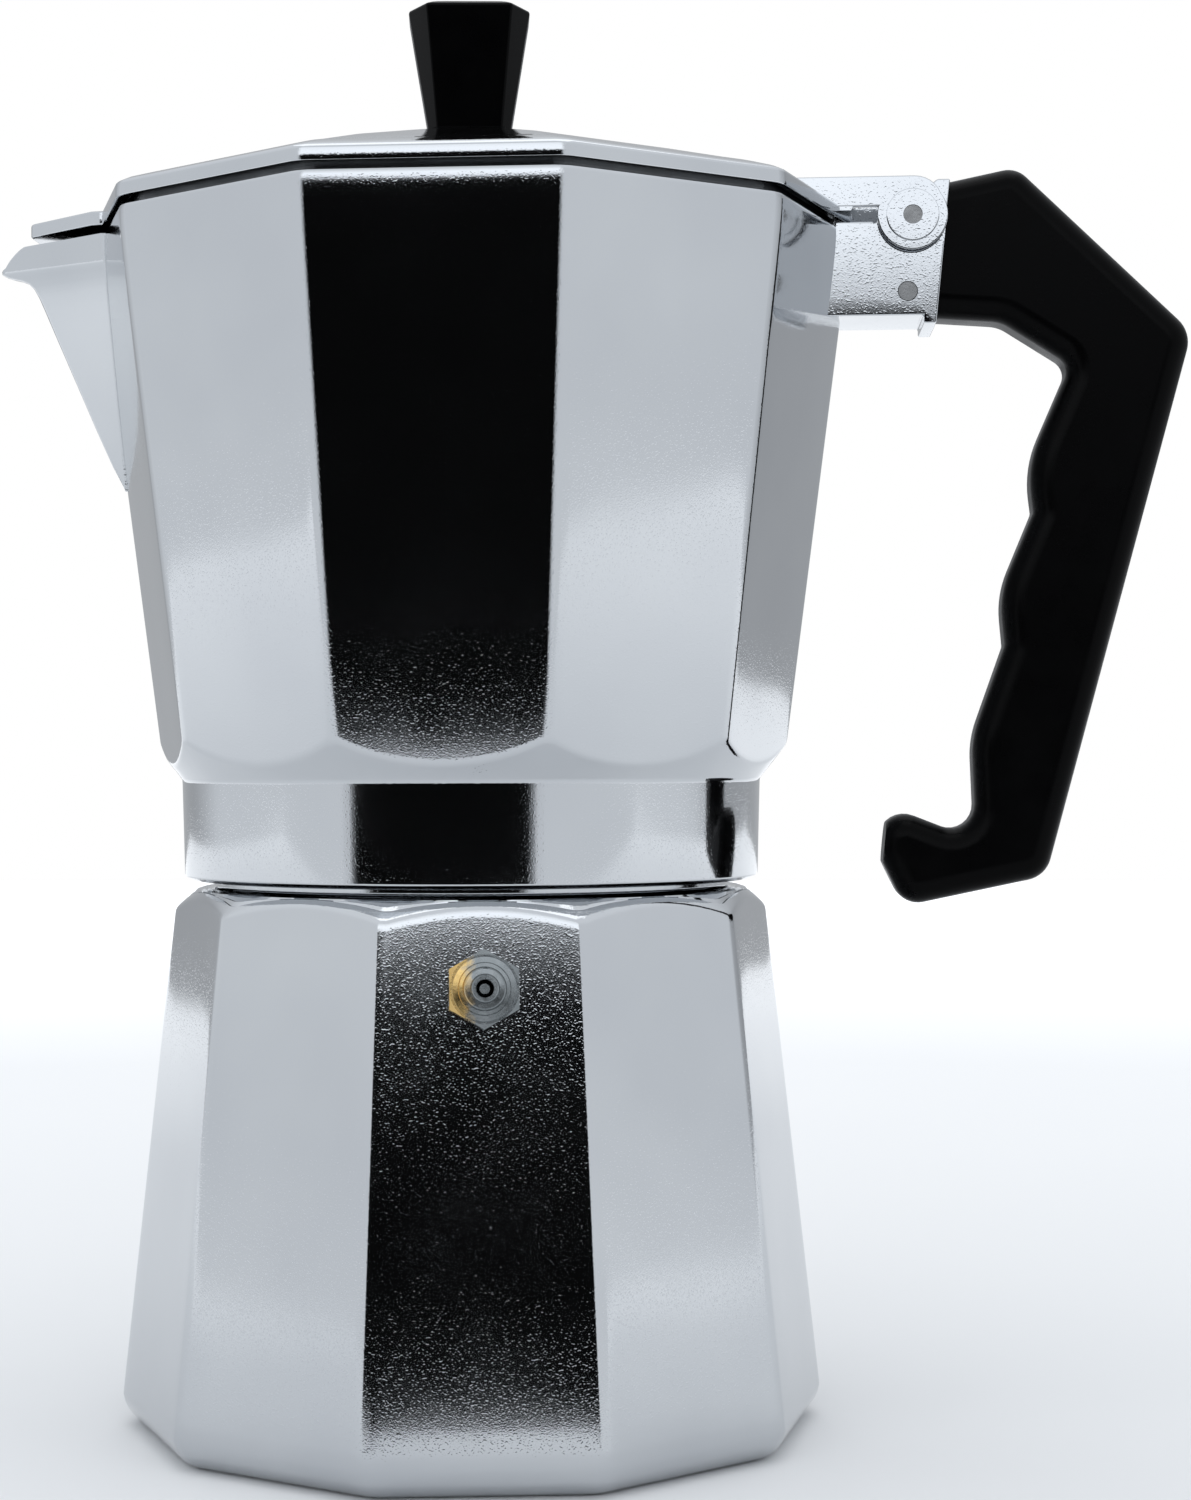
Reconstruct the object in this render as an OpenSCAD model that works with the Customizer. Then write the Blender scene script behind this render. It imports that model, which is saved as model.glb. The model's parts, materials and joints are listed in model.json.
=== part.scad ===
// Ten-sided stovetop coffee maker: boiler with a safety valve, funnel, filter plate,
// screw-on jug with a pouring spout, hinged lid with a knob, and a side handle.
// Origin: centre of the boiler's flat base. +Z up, handle towards +X, spout towards -X.

/* [Boiler] */
// Corner radius of the ten-sided boiler, 10 mm above its base
boiler_foot_r = 61; // [59:0.5:63]
// Radius the boiler's corners lose per millimetre of height
boiler_taper = 0.111; // [0.1:0.001:0.12]
// Height of the turned shoulder under the collar
shoulder_z = 93.3; // [92.8:0.1:93.8]
// Angle by which the tightened boiler is turned against the jug
boiler_turn = 7.4; // [0:0.2:18]
// Rounding of the edge around the base
boiler_edge_r = 6; // [3:0.5:8]
// Wall thickness at the middle of a side
boiler_wall = 4; // [3:0.5:5]
// Thickness of the boiler's floor
boiler_floor = 5; // [3:0.5:7]
// Height of the boiler's rim, which the funnel rests on
neck_z = 107; // [106:0.5:107]
// Outer radius of the boiler's neck, inside the collar
neck_r = 44.6; // [44:0.1:45]

/* [Jug] */
// Corner radius of the jug at its rim
jug_rim_r = 67.1; // [66:0.1:68]
// Radius the jug's corners gain per millimetre of height
jug_flare = 0.13; // [0.12:0.005:0.14]
// Height of the rim
rim_z = 207; // [206:0.5:208]
// Wall thickness of the jug
jug_wall = 3.2; // [2.5:0.1:4]
// Outer radius of the round collar at its top
collar_r = 50.5; // [50:0.1:51]
// Height of the collar's top, where the jug's bowl starts
collar_top_z = 112.3; // [112.2:0.1:113]
// Height of the collar's lower edge
collar_low_z = 94.9; // [94.6:0.1:95.4]
// Radius of the collar's bore
collar_bore_r = 45.9; // [45.6:0.1:46.2]
// Height of the column's top
column_top_z = 188; // [170:1:196]
// Radius of the passage inside the column
column_bore_r = 4; // [3:0.5:4.5]

/* [Spout] */
// Reach of the spout's tip from the pot's axis
spout_tip_x = 83.8; // [80:0.2:86]
// Height of the spout's tip
spout_tip_z = 202.4; // [200:0.2:204]
// Height where the spout's keel leaves the jug's corner
spout_root_z = 164; // [155:1:175]
// Half width of the spout's mouth at the jug
spout_half_w = 16; // [13:0.5:18]

/* [Hinge and handle] */
// Distance of the hinge pin from the pot's axis
hinge_x = 76.9; // [76.5:0.1:77.3]
// Height of the hinge pin
hinge_z = 208.7; // [208.4:0.1:209]
// Distance of the handle's cross pin from the pot's axis
cross_pin_x = 76; // [75:0.5:77]
// Height of the handle's cross pin
cross_pin_z = 195.6; // [195.4:0.1:197]
// Radius of both pins
pin_r = 1.6; // [1.4:0.1:1.8]
// Radial clearance of the lid's ears on the hinge pin
hinge_clear = 0.05; // [0.02:0.01:0.1]
// Half width of the jug's bracket
bracket_half_w = 8.5; // [8.2:0.1:9]
// Half thickness of the handle's grip
handle_half_t = 6.6; // [6:0.1:6.6]

/* [Lid and knob] */
// Height of the lid's lower edge
lid_low_z = 208.1; // [208:0.1:208.6]
// Height of the lid's rim band
lid_band_h = 2.5; // [2.4:0.1:3.2]
// Height of the flat that carries the knob
lid_top_z = 225.3; // [224:0.1:227]
// Sheet thickness of the lid's crown
lid_wall = 2; // [1.6:0.1:2.4]
// Height of the knob's sides
knob_h = 20.8; // [18:0.2:24]
// Half width of the knob at its top
knob_top_w = 10.6; // [9:0.1:12]
// Half width of the knob at its base
knob_low_w = 7.2; // [6.8:0.1:8]
// Angle by which the tightened knob is turned
knob_turn = 5.5; // [0:0.5:15]

/* [Safety valve] */
// Height of the valve's axis where it meets the side
valve_z = 79.3; // [70:0.5:82]
// Width of the hexagon across its flats
valve_hex_w = 11; // [10:0.5:13]

/* [Funnel and filter] */
// Inner radius of the funnel's coffee basket
basket_r = 39.5; // [38:0.1:39.5]
// Depth of the coffee basket
basket_d = 23; // [18:1:26]
// Inner radius of the funnel's tube
tube_r = 4.6; // [4:0.1:5]
// Number of hole rings in the sieve and in the filter plate
hole_rings = 6; // [3:1:7]

/* [Hidden] */
sides = 10;
half_side = 180 / sides;
fine = 96;
seat_gap = 0.05;
eps = 0.01;

cast_metal = "silver";
black_resin = "#1c1c1e";
valve_brass = "#c9a24b";

function boiler_r(z) = boiler_foot_r - boiler_taper * (z - 10);
function boiler_flat(z) = boiler_r(z) * cos(half_side);
function jug_r(z) = jug_rim_r - jug_flare * (rim_z - z);
function arc(cx, cy, r, a0, a1, n) = [
    for (i = [0 : n]) [cx + r * cos(a0 + (a1 - a0) * i / n), cy + r * sin(a0 + (a1 - a0) * i / n)]
];

// Round one corner of an outline: arc points between the two tangent points.
function unit(v) = v / norm(v);
function corner(a, p, b) =
    p[2] <= 0 ? [[p[0], p[1]]] :
    let (
        c = [p[0], p[1]],
        u = unit([a[0], a[1]] - c),
        v = unit([b[0], b[1]] - c),
        half = acos(u * v) / 2,
        mid = unit(u + v),
        centre = c + mid * p[2] / sin(half),
        p0 = c + u * p[2] / tan(half),
        p1 = c + v * p[2] / tan(half),
        a0 = atan2(p0[1] - centre[1], p0[0] - centre[0]),
        a1 = atan2(p1[1] - centre[1], p1[0] - centre[0]),
        turn = a1 - a0 > 180 ? a1 - a0 - 360 : a1 - a0 < -180 ? a1 - a0 + 360 : a1 - a0,
        n = max(2, ceil(abs(turn) / 12))
    )
    [for (i = [0 : n]) centre + p[2] * [cos(a0 + turn * i / n), sin(a0 + turn * i / n)]];
function rounded(p) = [
    for (i = [0 : len(p) - 1])
        each corner(p[(i + len(p) - 1) % len(p)], p[i], p[(i + 1) % len(p)])
];

// ---- Boiler ----
neck_bore_r = 41.5;
cavity_low_r = boiler_flat(14) - boiler_wall;
cavity_top_r = boiler_flat(shoulder_z - 12) - boiler_wall;

module boiler_outside() {
    rotate([0, 0, boiler_turn])
        rotate_extrude($fn = sides)
            polygon(concat(
                [[0, 0]],
                arc(boiler_r(boiler_edge_r) - boiler_edge_r, boiler_edge_r, boiler_edge_r, -90, 0, 6),
                [[boiler_r(shoulder_z), shoulder_z], [0, shoulder_z]]
            ));
}

// Turned cone that cuts the ten corners away under the collar.
module shoulder_cut() {
    shoulder_r = 48;
    cone_h = 5;
    difference() {
        translate([0, 0, shoulder_z - cone_h])
            cylinder(h = cone_h + 1, r = boiler_foot_r + 5, $fn = fine);
        translate([0, 0, shoulder_z - cone_h - 1])
            cylinder(h = cone_h + 1, r1 = shoulder_r + (cone_h + 1) * 1.15, r2 = shoulder_r, $fn = fine);
    }
}

module boiler_cavity() {
    fillet = 9;
    rotate_extrude($fn = fine)
        polygon(concat(
            [[0, boiler_floor]],
            arc(cavity_low_r - fillet, boiler_floor + fillet, fillet, -90, 0, 6),
            [
                [cavity_top_r, shoulder_z - 12],
                [neck_bore_r, shoulder_z + 1],
                [neck_bore_r, neck_z + 1],
                [0, neck_z + 1]
            ]
        ));
}

module boiler() {
    color(cast_metal)
        difference() {
            union() {
                difference() {
                    boiler_outside();
                    shoulder_cut();
                }
                translate([0, 0, shoulder_z - 1])
                    cylinder(h = neck_z - shoulder_z + 1, r = neck_r, $fn = fine);
            }
            boiler_cavity();
            at_valve()
                translate([0, 0, -12])
                    cylinder(h = 20, r = valve_stub_r, $fn = 48);
        }
}

// ---- Safety valve, along +Z of its own frame, which starts on the boiler's side ----
valve_stub_r = 4;
valve_turn = boiler_turn - 90;
valve_tilt = atan(boiler_taper * cos(half_side));
washer_t = 0.8;
hex_t = 3.2;
hex_top = washer_t + hex_t;
chamber_r = 2.7;
inlet_r = 1.5;
stub_in = -8;
seat_in = -6.6;

module at_valve() {
    rotate([0, 0, valve_turn])
        translate([boiler_flat(valve_z), 0, valve_z])
            rotate([0, 90 - valve_tilt, 0])
                children();
}

module valve_body() {
    color(valve_brass)
        at_valve()
            difference() {
                union() {
                    intersection() {
                        translate([0, 0, washer_t])
                            cylinder(h = hex_t, r = valve_hex_w / 2 / cos(30), $fn = 6);
                        translate([0, 0, washer_t])
                            rotate_extrude($fn = fine)
                                polygon([
                                    [0, 0], [6, 0], [6.7, 0.7], [6.7, hex_t - 0.7],
                                    [valve_hex_w / 2, hex_t], [0, hex_t]
                                ]);
                    }
                    translate([0, 0, stub_in])
                        cylinder(h = washer_t - stub_in, r = valve_stub_r, $fn = 48);
                }
                translate([0, 0, seat_in])
                    cylinder(h = hex_top - seat_in + 1, r = chamber_r, $fn = 48);
                translate([0, 0, stub_in - 1])
                    cylinder(h = 3, r = inlet_r, $fn = 48);
            }
}

module valve_washer() {
    color("#b9b6ad")
        at_valve()
            difference() {
                cylinder(h = washer_t, r = 5.3, $fn = 64);
                translate([0, 0, -1])
                    cylinder(h = washer_t + 2, r = valve_stub_r, $fn = 48);
            }
}

// Turned nose pressed into the hexagon: it holds the spring in.
module valve_cap() {
    color(valve_brass)
        at_valve()
            rotate_extrude($fn = 64)
                polygon([
                    [1.4, hex_top - 1.6], [chamber_r, hex_top - 1.6], [chamber_r, hex_top],
                    [4.9, hex_top], [4.9, hex_top + 0.7], [3.4, hex_top + 1.7],
                    [3.1, hex_top + 2.6], [2.3, hex_top + 3.2], [1.4, hex_top + 3.2]
                ]);
}

module valve_plunger() {
    color(valve_brass)
        at_valve()
            rotate_extrude($fn = 48)
                polygon([
                    [0, seat_in + 0.7], [2.3, seat_in + 0.7], [2.3, seat_in + 1.5],
                    [1.1, seat_in + 1.7], [1.1, hex_top + 0.8], [0.8, hex_top + 1.2], [0, hex_top + 1.2]
                ]);
}

module valve_seal() {
    color("#d8d4cc")
        at_valve()
            translate([0, 0, seat_in + seat_gap])
                cylinder(h = 0.7 - seat_gap, r = 2.3, $fn = 48);
}

spring_turns = 6;
spring_wire = 0.22;
spring_mean_r = 1.95;
module valve_spring() {
    steps = spring_turns * 16;
    low = seat_in + 1.5 + spring_wire + 0.05;
    high = hex_top - 1.6 - spring_wire - 0.05;
    ring = 6;
    points = [
        for (i = [0 : steps], k = [0 : ring - 1])
            let (a = i * 22.5, b = k * 360 / ring, r = spring_mean_r + spring_wire * cos(b))
            [r * cos(a), r * sin(a), low + (high - low) * i / steps + spring_wire * sin(b)]
    ];
    walls = [
        for (i = [0 : steps - 1], k = [0 : ring - 1])
            let (n = (k + 1) % ring)
            [i * ring + k, (i + 1) * ring + k, (i + 1) * ring + n, i * ring + n]
    ];
    ends = [[for (k = [0 : ring - 1]) k], [for (k = [ring - 1 : -1 : 0]) steps * ring + k]];
    color("#9aa0a6")
        at_valve()
            polyhedron(points = points, faces = concat(walls, ends), convexity = 8);
}

// ---- Funnel ----
sheet = 0.8;
flange_r = 44.2;
basket_floor_z = neck_z - basket_d;
cone_low_z = basket_floor_z - 10;
tube_low_z = boiler_floor + 6;

module funnel() {
    flange_t = 1;
    top = neck_z + seat_gap;
    out_r = basket_r + sheet;
    tube_out = tube_r + sheet;
    ledge_r = basket_r - 2.5;
    color("lightgray")
        rotate_extrude($fn = fine)
            polygon([
                [basket_r, top + flange_t], [flange_r, top + flange_t], [flange_r, top], [out_r, top],
                [out_r, basket_floor_z - sheet], [tube_out, cone_low_z - sheet], [tube_out, tube_low_z],
                [tube_r, tube_low_z], [tube_r, cone_low_z], [ledge_r, basket_floor_z - 1],
                [ledge_r, basket_floor_z], [basket_r, basket_floor_z]
            ]);
}

// Ring after ring of small holes, six more in each ring.
module hole_pattern(rings, pitch, hole_r, h) {
    for (ring = [0 : rings], i = [0 : max(0, ring * 6 - 1)])
        rotate([0, 0, ring == 0 ? 0 : i * 60 / ring + ring * 7])
            translate([ring * pitch, 0, -1])
                cylinder(h = h + 2, r = hole_r, $fn = 8);
}

module funnel_sieve() {
    color("gainsboro")
        translate([0, 0, basket_floor_z])
            difference() {
                cylinder(h = sheet, r = basket_r - 0.1, $fn = fine);
                hole_pattern(hole_rings, 34 / hole_rings, 1.1, sheet);
            }
}

// ---- Seal and filter plate under the jug ----
gasket_low_z = neck_z + 1 + 2 * seat_gap;
plate_top_z = 111.8;
plate_r = 41.5;

module gasket() {
    color("ivory")
        rotate_extrude($fn = fine)
            polygon([
                [37.5, gasket_low_z], [45.4, gasket_low_z], [45.4, plate_top_z], [plate_r + 0.1, plate_top_z],
                [plate_r + 0.1, plate_top_z - sheet], [37.5, plate_top_z - sheet]
            ]);
}

module filter_plate() {
    color("gainsboro")
        translate([0, 0, plate_top_z - sheet])
            difference() {
                cylinder(h = sheet, r = plate_r, $fn = fine);
                hole_pattern(hole_rings, 34 / hole_rings, 0.8, sheet);
            }
}

// ---- Jug ----
module jug_shell() {
    floor_z = collar_top_z;
    intersection() {
        translate([0, 0, floor_z])
            cylinder(h = rim_z - floor_z, r1 = jug_r(floor_z), r2 = jug_rim_r, $fn = sides);
        rotate_extrude($fn = fine)
            polygon([
                [0, floor_z], [collar_r, floor_z], [collar_r + 2.6, floor_z + 3.3],
                [collar_r + 4.7, floor_z + 6.4], [collar_r + 7, floor_z + 10.4], [75, 150], [75, rim_z + 1],
                [0, rim_z + 1]
            ]);
    }
}

module collar() {
    rotate_extrude($fn = fine)
        polygon([
            [0, collar_low_z], [collar_r - 2.4, collar_low_z], [collar_r - 0.4, collar_low_z + 0.8],
            [collar_r, collar_top_z], [0, collar_top_z]
        ]);
}

module jug_cavity() {
    inner_floor = collar_top_z + 9;
    intersection() {
        translate([0, 0, inner_floor])
            cylinder(
                h = rim_z + 1 - inner_floor,
                r1 = jug_r(inner_floor) - jug_wall, r2 = jug_r(rim_z + 1) - jug_wall, $fn = sides
            );
        rotate_extrude($fn = fine)
            polygon(concat(
                [[0, inner_floor]],
                arc(42, inner_floor + 10, 10, -90, 0, 5),
                [[75, 170], [75, rim_z + 2], [0, rim_z + 2]]
            ));
    }
}

module column() {
    base = collar_top_z + 8;
    top = column_top_z;
    rotate_extrude($fn = fine)
        polygon([
            [0, base], [17, base], [17, base + 1], [12, base + 4], [9.4, base + 10], [8.2, base + 20],
            [7.4, top - 4], [6.6, top - 1.5], [4.6, top - 0.2], [0, top]
        ]);
}

module column_passage() {
    dome_low = plate_top_z;
    rotate_extrude($fn = fine)
        polygon([
            [0, dome_low - 1], [34, dome_low - 1], [34, dome_low], [column_bore_r + 1, dome_low + 7],
            [column_bore_r, dome_low + 9], [column_bore_r, column_top_z - 5], [0, column_top_z - 3]
        ]);
    window_w = 3.2;
    window_h = 7;
    for (side = [-90, 90])
        rotate([0, 0, side])
            translate([2, -window_w / 2, column_top_z - 2 * window_h])
                cube([10, window_w, window_h]);
}

// The spout: a keel that rises from the jug's corner, flat sides and a beak-like lip.
// inset draws the same form smaller, for the channel inside it.
keel_bend = [-75.4, 195];
lip_under = [-76.6, 199.6];
lip_crest = [-79.6, 205.6];
lip_half_w = 3.2;
lip_round = 1.4;
mouth_back_x = -52;
mouth_x = -64;
lip_back_x = -70;
nose_x = -77.5;
edge_t = 1;
channel_low_z = spout_root_z + 8;

module spout_bead(place, r, h) {
    translate([place[0], 0, place[1]])
        cylinder(h = h, r = r, $fn = 12);
}

module spout_form(inset) {
    half_w = spout_half_w - inset;
    top = rim_z + (inset > 0 ? 3 : 0);
    lip_w = max(edge_t, lip_half_w - inset);
    root_x = -jug_r(spout_root_z) + 3 + inset * 1.2;
    tip_x = -spout_tip_x + lip_round + inset;
    front_x = nose_x + inset;
    waist = half_w - 1.6;
    hull() {
        spout_bead([root_x, spout_root_z + inset * 4], 0.6, edge_t);
        spout_bead(keel_bend + inset * [1.2, 1.5], 0.8, edge_t);
        translate([0, 0, top - edge_t])
            linear_extrude(edge_t)
                polygon([
                    [mouth_back_x, -half_w - 2], [mouth_back_x, half_w + 2], [mouth_x, waist],
                    [front_x, lip_w + lip_round], [front_x, -lip_w - lip_round], [mouth_x, -waist]
                ]);
    }
    hull() {
        spout_bead(keel_bend + [1 + inset * 1.4, 1.4], 1.2, edge_t);
        spout_bead(lip_under + inset * [1.6, 1.2], max(0.6, 2 - inset), edge_t);
        spout_bead([tip_x, spout_tip_z - 0.6 + inset * 1.5], max(0.5, lip_round - inset * 0.3), 0.6);
        spout_bead(lip_crest + inset * [0.5, 0.5], max(0.8, 2.4 - inset * 0.6), 0.6);
        translate([lip_back_x, 0, top - edge_t])
            linear_extrude(edge_t)
                polygon([[0, 6 - half_w], [0, half_w - 6], [-7.4, lip_w + edge_t], [-7.4, -lip_w - edge_t]]);
    }
}

// ---- Bracket that carries the hinge and the handle ----
bracket_low_z = 191.5;
bracket_top_z = 207.6;
bracket_root_x = 58;
bracket_step_x = 79.5;
knuckle_root_x = 72;
through = 20;
lip_low = [80.9, 190.1];
lip_high = [83.4, 215.1];
knuckle_r = 6;
knuckle_half_w = 6.6;
ear_gap = 0.3;
recess_r = 6.95;

module across(half_w) {
    translate([0, half_w, 0])
        rotate([90, 0, 0])
            linear_extrude(2 * half_w)
                children();
}

module pin_hole(x, z, r, half_w) {
    translate([x, half_w, z])
        rotate([90, 0, 0])
            cylinder(h = 2 * half_w, r = r, $fn = 48);
}

module bracket() {
    lip_t = 2.2;
    side_cut = 10;
    difference() {
        union() {
            across(bracket_half_w)
                polygon([
                    [bracket_root_x, bracket_low_z], [lip_low[0] - lip_t, bracket_low_z],
                    [lip_low[0] - lip_t, lip_low[1]], lip_low, lip_low + (lip_high - lip_low) * 0.7,
                    [bracket_step_x, bracket_top_z], [bracket_root_x, bracket_top_z]
                ]);
            across(knuckle_half_w)
                polygon([
                    lip_low - [lip_t, 0], lip_low, lip_high, lip_high - [lip_t, 0],
                    [knuckle_root_x, bracket_top_z], [knuckle_root_x, bracket_low_z]
                ]);
            pin_hole(hinge_x, hinge_z, knuckle_r, knuckle_half_w);
        }
        for (side = [-1, 1])
            translate([0, side * (knuckle_half_w + side_cut + 2 * eps), 0])
                pin_hole(hinge_x, hinge_z, recess_r, side_cut);
        tongue(0.1, 20);
        pin_hole(hinge_x, hinge_z, pin_r, through);
        pin_hole(cross_pin_x, cross_pin_z, pin_r, through);
    }
}

// Tongue of the handle inside the bracket; grow makes the pocket for it.
tongue_x = 67.5;
tongue_z = 193.6;
tongue_half_w = 4.9;
tongue_h = 8;
module tongue(grow, length) {
    translate([tongue_x - grow, -tongue_half_w - grow, tongue_z - grow])
        cube([length, 2 * (tongue_half_w + grow), tongue_h + 2 * grow]);
}

module jug() {
    color(cast_metal)
        difference() {
            union() {
                difference() {
                    union() {
                        jug_shell();
                        collar();
                        spout_form(0);
                        difference() {
                            bracket();
                            jug_cavity();
                        }
                    }
                    jug_cavity();
                    intersection() {
                        spout_form(2);
                        translate([-90, -30, channel_low_z])
                            cube([60, 60, 60]);
                    }
                }
                column();
            }
            column_passage();
            translate([0, 0, collar_low_z - 1])
                cylinder(h = plate_top_z - collar_low_z + 1, r = collar_bore_r, $fn = fine);
        }
}

// ---- Handle ----
// Outline in the pot's side view: [x, z, corner radius].
grip_outline = [
    [83.5, 215.2, 0.6], [94.9, 217.5, 4.5], [124.7, 188.6, 5.5], [99.6, 95.3, 5], [75.2, 90.1, 4.4],
    [70.8, 99.2, 8], [71.8, 107.8, 4.4], [87.6, 101.6, 4], [86.9, 118.9, 18], [92.6, 135, 1.4],
    [91.8, 144, 18], [97.6, 158, 1.4], [96.6, 166.1, 20], [104, 183.2, 3], [92.2, 190.8, 6],
    [81.1, 191.6, 0.6]
];

module handle() {
    color(black_resin)
        difference() {
            union() {
                across(handle_half_t)
                    polygon(rounded(grip_outline));
                tongue(0, 17.5);
            }
            pin_hole(cross_pin_x, cross_pin_z, pin_r, through);
        }
}

module handle_cross_pin() {
    color("gainsboro")
        pin_hole(cross_pin_x, cross_pin_z, pin_r, bracket_half_w);
}

module hinge_pin() {
    color("gainsboro")
        pin_hole(hinge_x, hinge_z, pin_r, bracket_half_w + 0.1);
}

// ---- Lid ----
lid_r = 67.2;
lid_flat_r = 8.6;
lid_cover_x = -77.8;
band_top_z = lid_low_z + lid_band_h;
skirt_out_r = jug_rim_r - jug_wall - 0.9;
arm_top_z = 215.4;
arm_low_z = 210.2;
ear_r = 6;

module lid_shell() {
    skirt_t = 1.5;
    skirt_low_z = lid_low_z - 2.6;
    rotate_extrude($fn = sides)
        polygon([
            [0, lid_top_z], [lid_flat_r, lid_top_z], [59, band_top_z + 2.8], [lid_r - 0.5, band_top_z + 0.3],
            [lid_r, band_top_z - 0.3],
            [lid_r, lid_low_z], [skirt_out_r, lid_low_z], [skirt_out_r, skirt_low_z],
            [skirt_out_r - skirt_t, skirt_low_z], [skirt_out_r - skirt_t, band_top_z - lid_wall],
            [lid_flat_r, lid_top_z - lid_wall], [0, lid_top_z - lid_wall]
        ]);
}

module spout_cover() {
    translate([0, 0, lid_low_z])
        linear_extrude(lid_band_h)
            polygon([
                [-60, -spout_half_w], [-60, spout_half_w], [mouth_x, spout_half_w - 1],
                [lid_cover_x, 4], [lid_cover_x, -4], [mouth_x, 1 - spout_half_w]
            ]);
}

// Two side flanges with a short bridge: their round ears turn on the hinge pin.
module hinge_arm() {
    flange_in = knuckle_half_w + ear_gap;
    arm_root_x = 52;
    bridge_root_x = 46;
    bridge_end_x = hinge_x - 9;
    bridge_t = 2.2;
    end_r = 4.8;
    end_x = hinge_x + 5.1;
    for (side = [-1, 1])
        translate([0, side * (bracket_half_w + flange_in) / 2, 0]) {
            across((bracket_half_w - flange_in) / 2)
                polygon(concat(
                    [[arm_root_x, arm_low_z], [end_x, arm_low_z]],
                    arc(end_x - end_r, arm_top_z - end_r, end_r, 0, 90, 6),
                    [[arm_root_x, arm_top_z]]
                ));
            pin_hole(hinge_x, hinge_z, ear_r, (bracket_half_w - flange_in) / 2);
        }
    across(bracket_half_w)
        polygon([
            [bridge_root_x, arm_top_z], [bridge_end_x, arm_top_z], [bridge_end_x, arm_top_z - bridge_t],
            [66.4, band_top_z - 1], [60, band_top_z - 1], [bridge_root_x, arm_top_z - 2]
        ]);
}

module lid() {
    color(cast_metal)
        difference() {
            union() {
                lid_shell();
                spout_cover();
                hinge_arm();
            }
            translate([-70, -12, lid_low_z - 10])
                cube([30, 24, 10 - eps]);
            pin_hole(hinge_x, hinge_z, pin_r + hinge_clear, through);
            translate([0, 0, lid_top_z - 10])
                cylinder(h = 20, r = screw_r + 0.2, $fn = 48);
        }
}

// ---- Knob and its fastening ----
screw_r = 2;
insert_r = 3.2;
insert_h = 9;

// Square section with cut corners: w is the half width. The front and back faces widen
// with it, and the other two keep their half width.
knob_side_half = 4.6;
module knob_section(w, z) {
    cut_corner = 1.6;
    widening = 0.52;
    face_half = knob_low_w - cut_corner + (w - knob_low_w) * widening;
    translate([0, 0, z])
        linear_extrude(0.1)
            polygon([
                for (sx = [-1, 1])
                    each [
                        [sx * face_half, -sx * w], [sx * w, -sx * knob_side_half],
                        [sx * w, sx * knob_side_half], [sx * face_half, sx * w]
                    ]
            ]);
}

module knob() {
    top_z = lid_top_z + knob_h;
    crown_h = 3;
    edge = 0.1;
    color(black_resin)
        rotate([0, 0, knob_turn])
            difference() {
                hull() {
                    knob_section(knob_low_w, lid_top_z + seat_gap);
                    knob_section(knob_top_w, top_z - edge);
                    translate([0, 0, top_z + crown_h])
                        cylinder(h = edge, r = 0.5, $fn = 8);
                }
                translate([0, 0, lid_top_z - 1])
                    cylinder(h = insert_h + 1, r = insert_r, $fn = 48);
            }
}

module knob_insert() {
    color(valve_brass)
        translate([0, 0, lid_top_z + seat_gap])
            difference() {
                cylinder(h = insert_h - seat_gap, r = insert_r, $fn = 48);
                translate([0, 0, -1])
                    cylinder(h = insert_h - 1, r = screw_r, $fn = 48);
            }
}

washer_top_z = lid_top_z - lid_wall;
knob_washer_t = 0.6;

module knob_washer() {
    color("gainsboro")
        translate([0, 0, washer_top_z - knob_washer_t])
            difference() {
                cylinder(h = knob_washer_t, r = 4.6, $fn = 48);
                translate([0, 0, -1])
                    cylinder(h = 3, r = screw_r + 0.2, $fn = 48);
            }
}

module knob_screw() {
    head_h = 2.2;
    head_r = 3.6;
    slot_w = 1;
    slot_d = 0.9;
    head_low = washer_top_z - knob_washer_t - head_h;
    tip_z = lid_top_z + insert_h - 2.6;
    color("gainsboro")
        difference() {
            union() {
                translate([0, 0, head_low])
                    cylinder(h = head_h, r = head_r, $fn = 48);
                translate([0, 0, head_low + 1])
                    cylinder(h = tip_z - head_low - 1, r = screw_r, $fn = 48);
            }
            translate([-head_r - 1, -slot_w / 2, head_low - 1])
                cube([2 * head_r + 2, slot_w, slot_d + 1]);
        }
}

boiler();
valve_body();
valve_washer();
valve_cap();
valve_plunger();
valve_seal();
valve_spring();
funnel();
funnel_sieve();
gasket();
filter_plate();
jug();
handle();
handle_cross_pin();
hinge_pin();
lid();
knob();
knob_insert();
knob_screw();
knob_washer();
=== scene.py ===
"""Looks of a ten-sided stovetop coffee maker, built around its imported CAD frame.

The camera looks from the front, a little from the right. Shapes are worked out in millimetres and
stored in metres, and the spout points to -X, the handle to +X and the front to -Y.
"""
import json
import math

import bmesh
import bpy
from mathutils import Matrix, Vector


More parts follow.
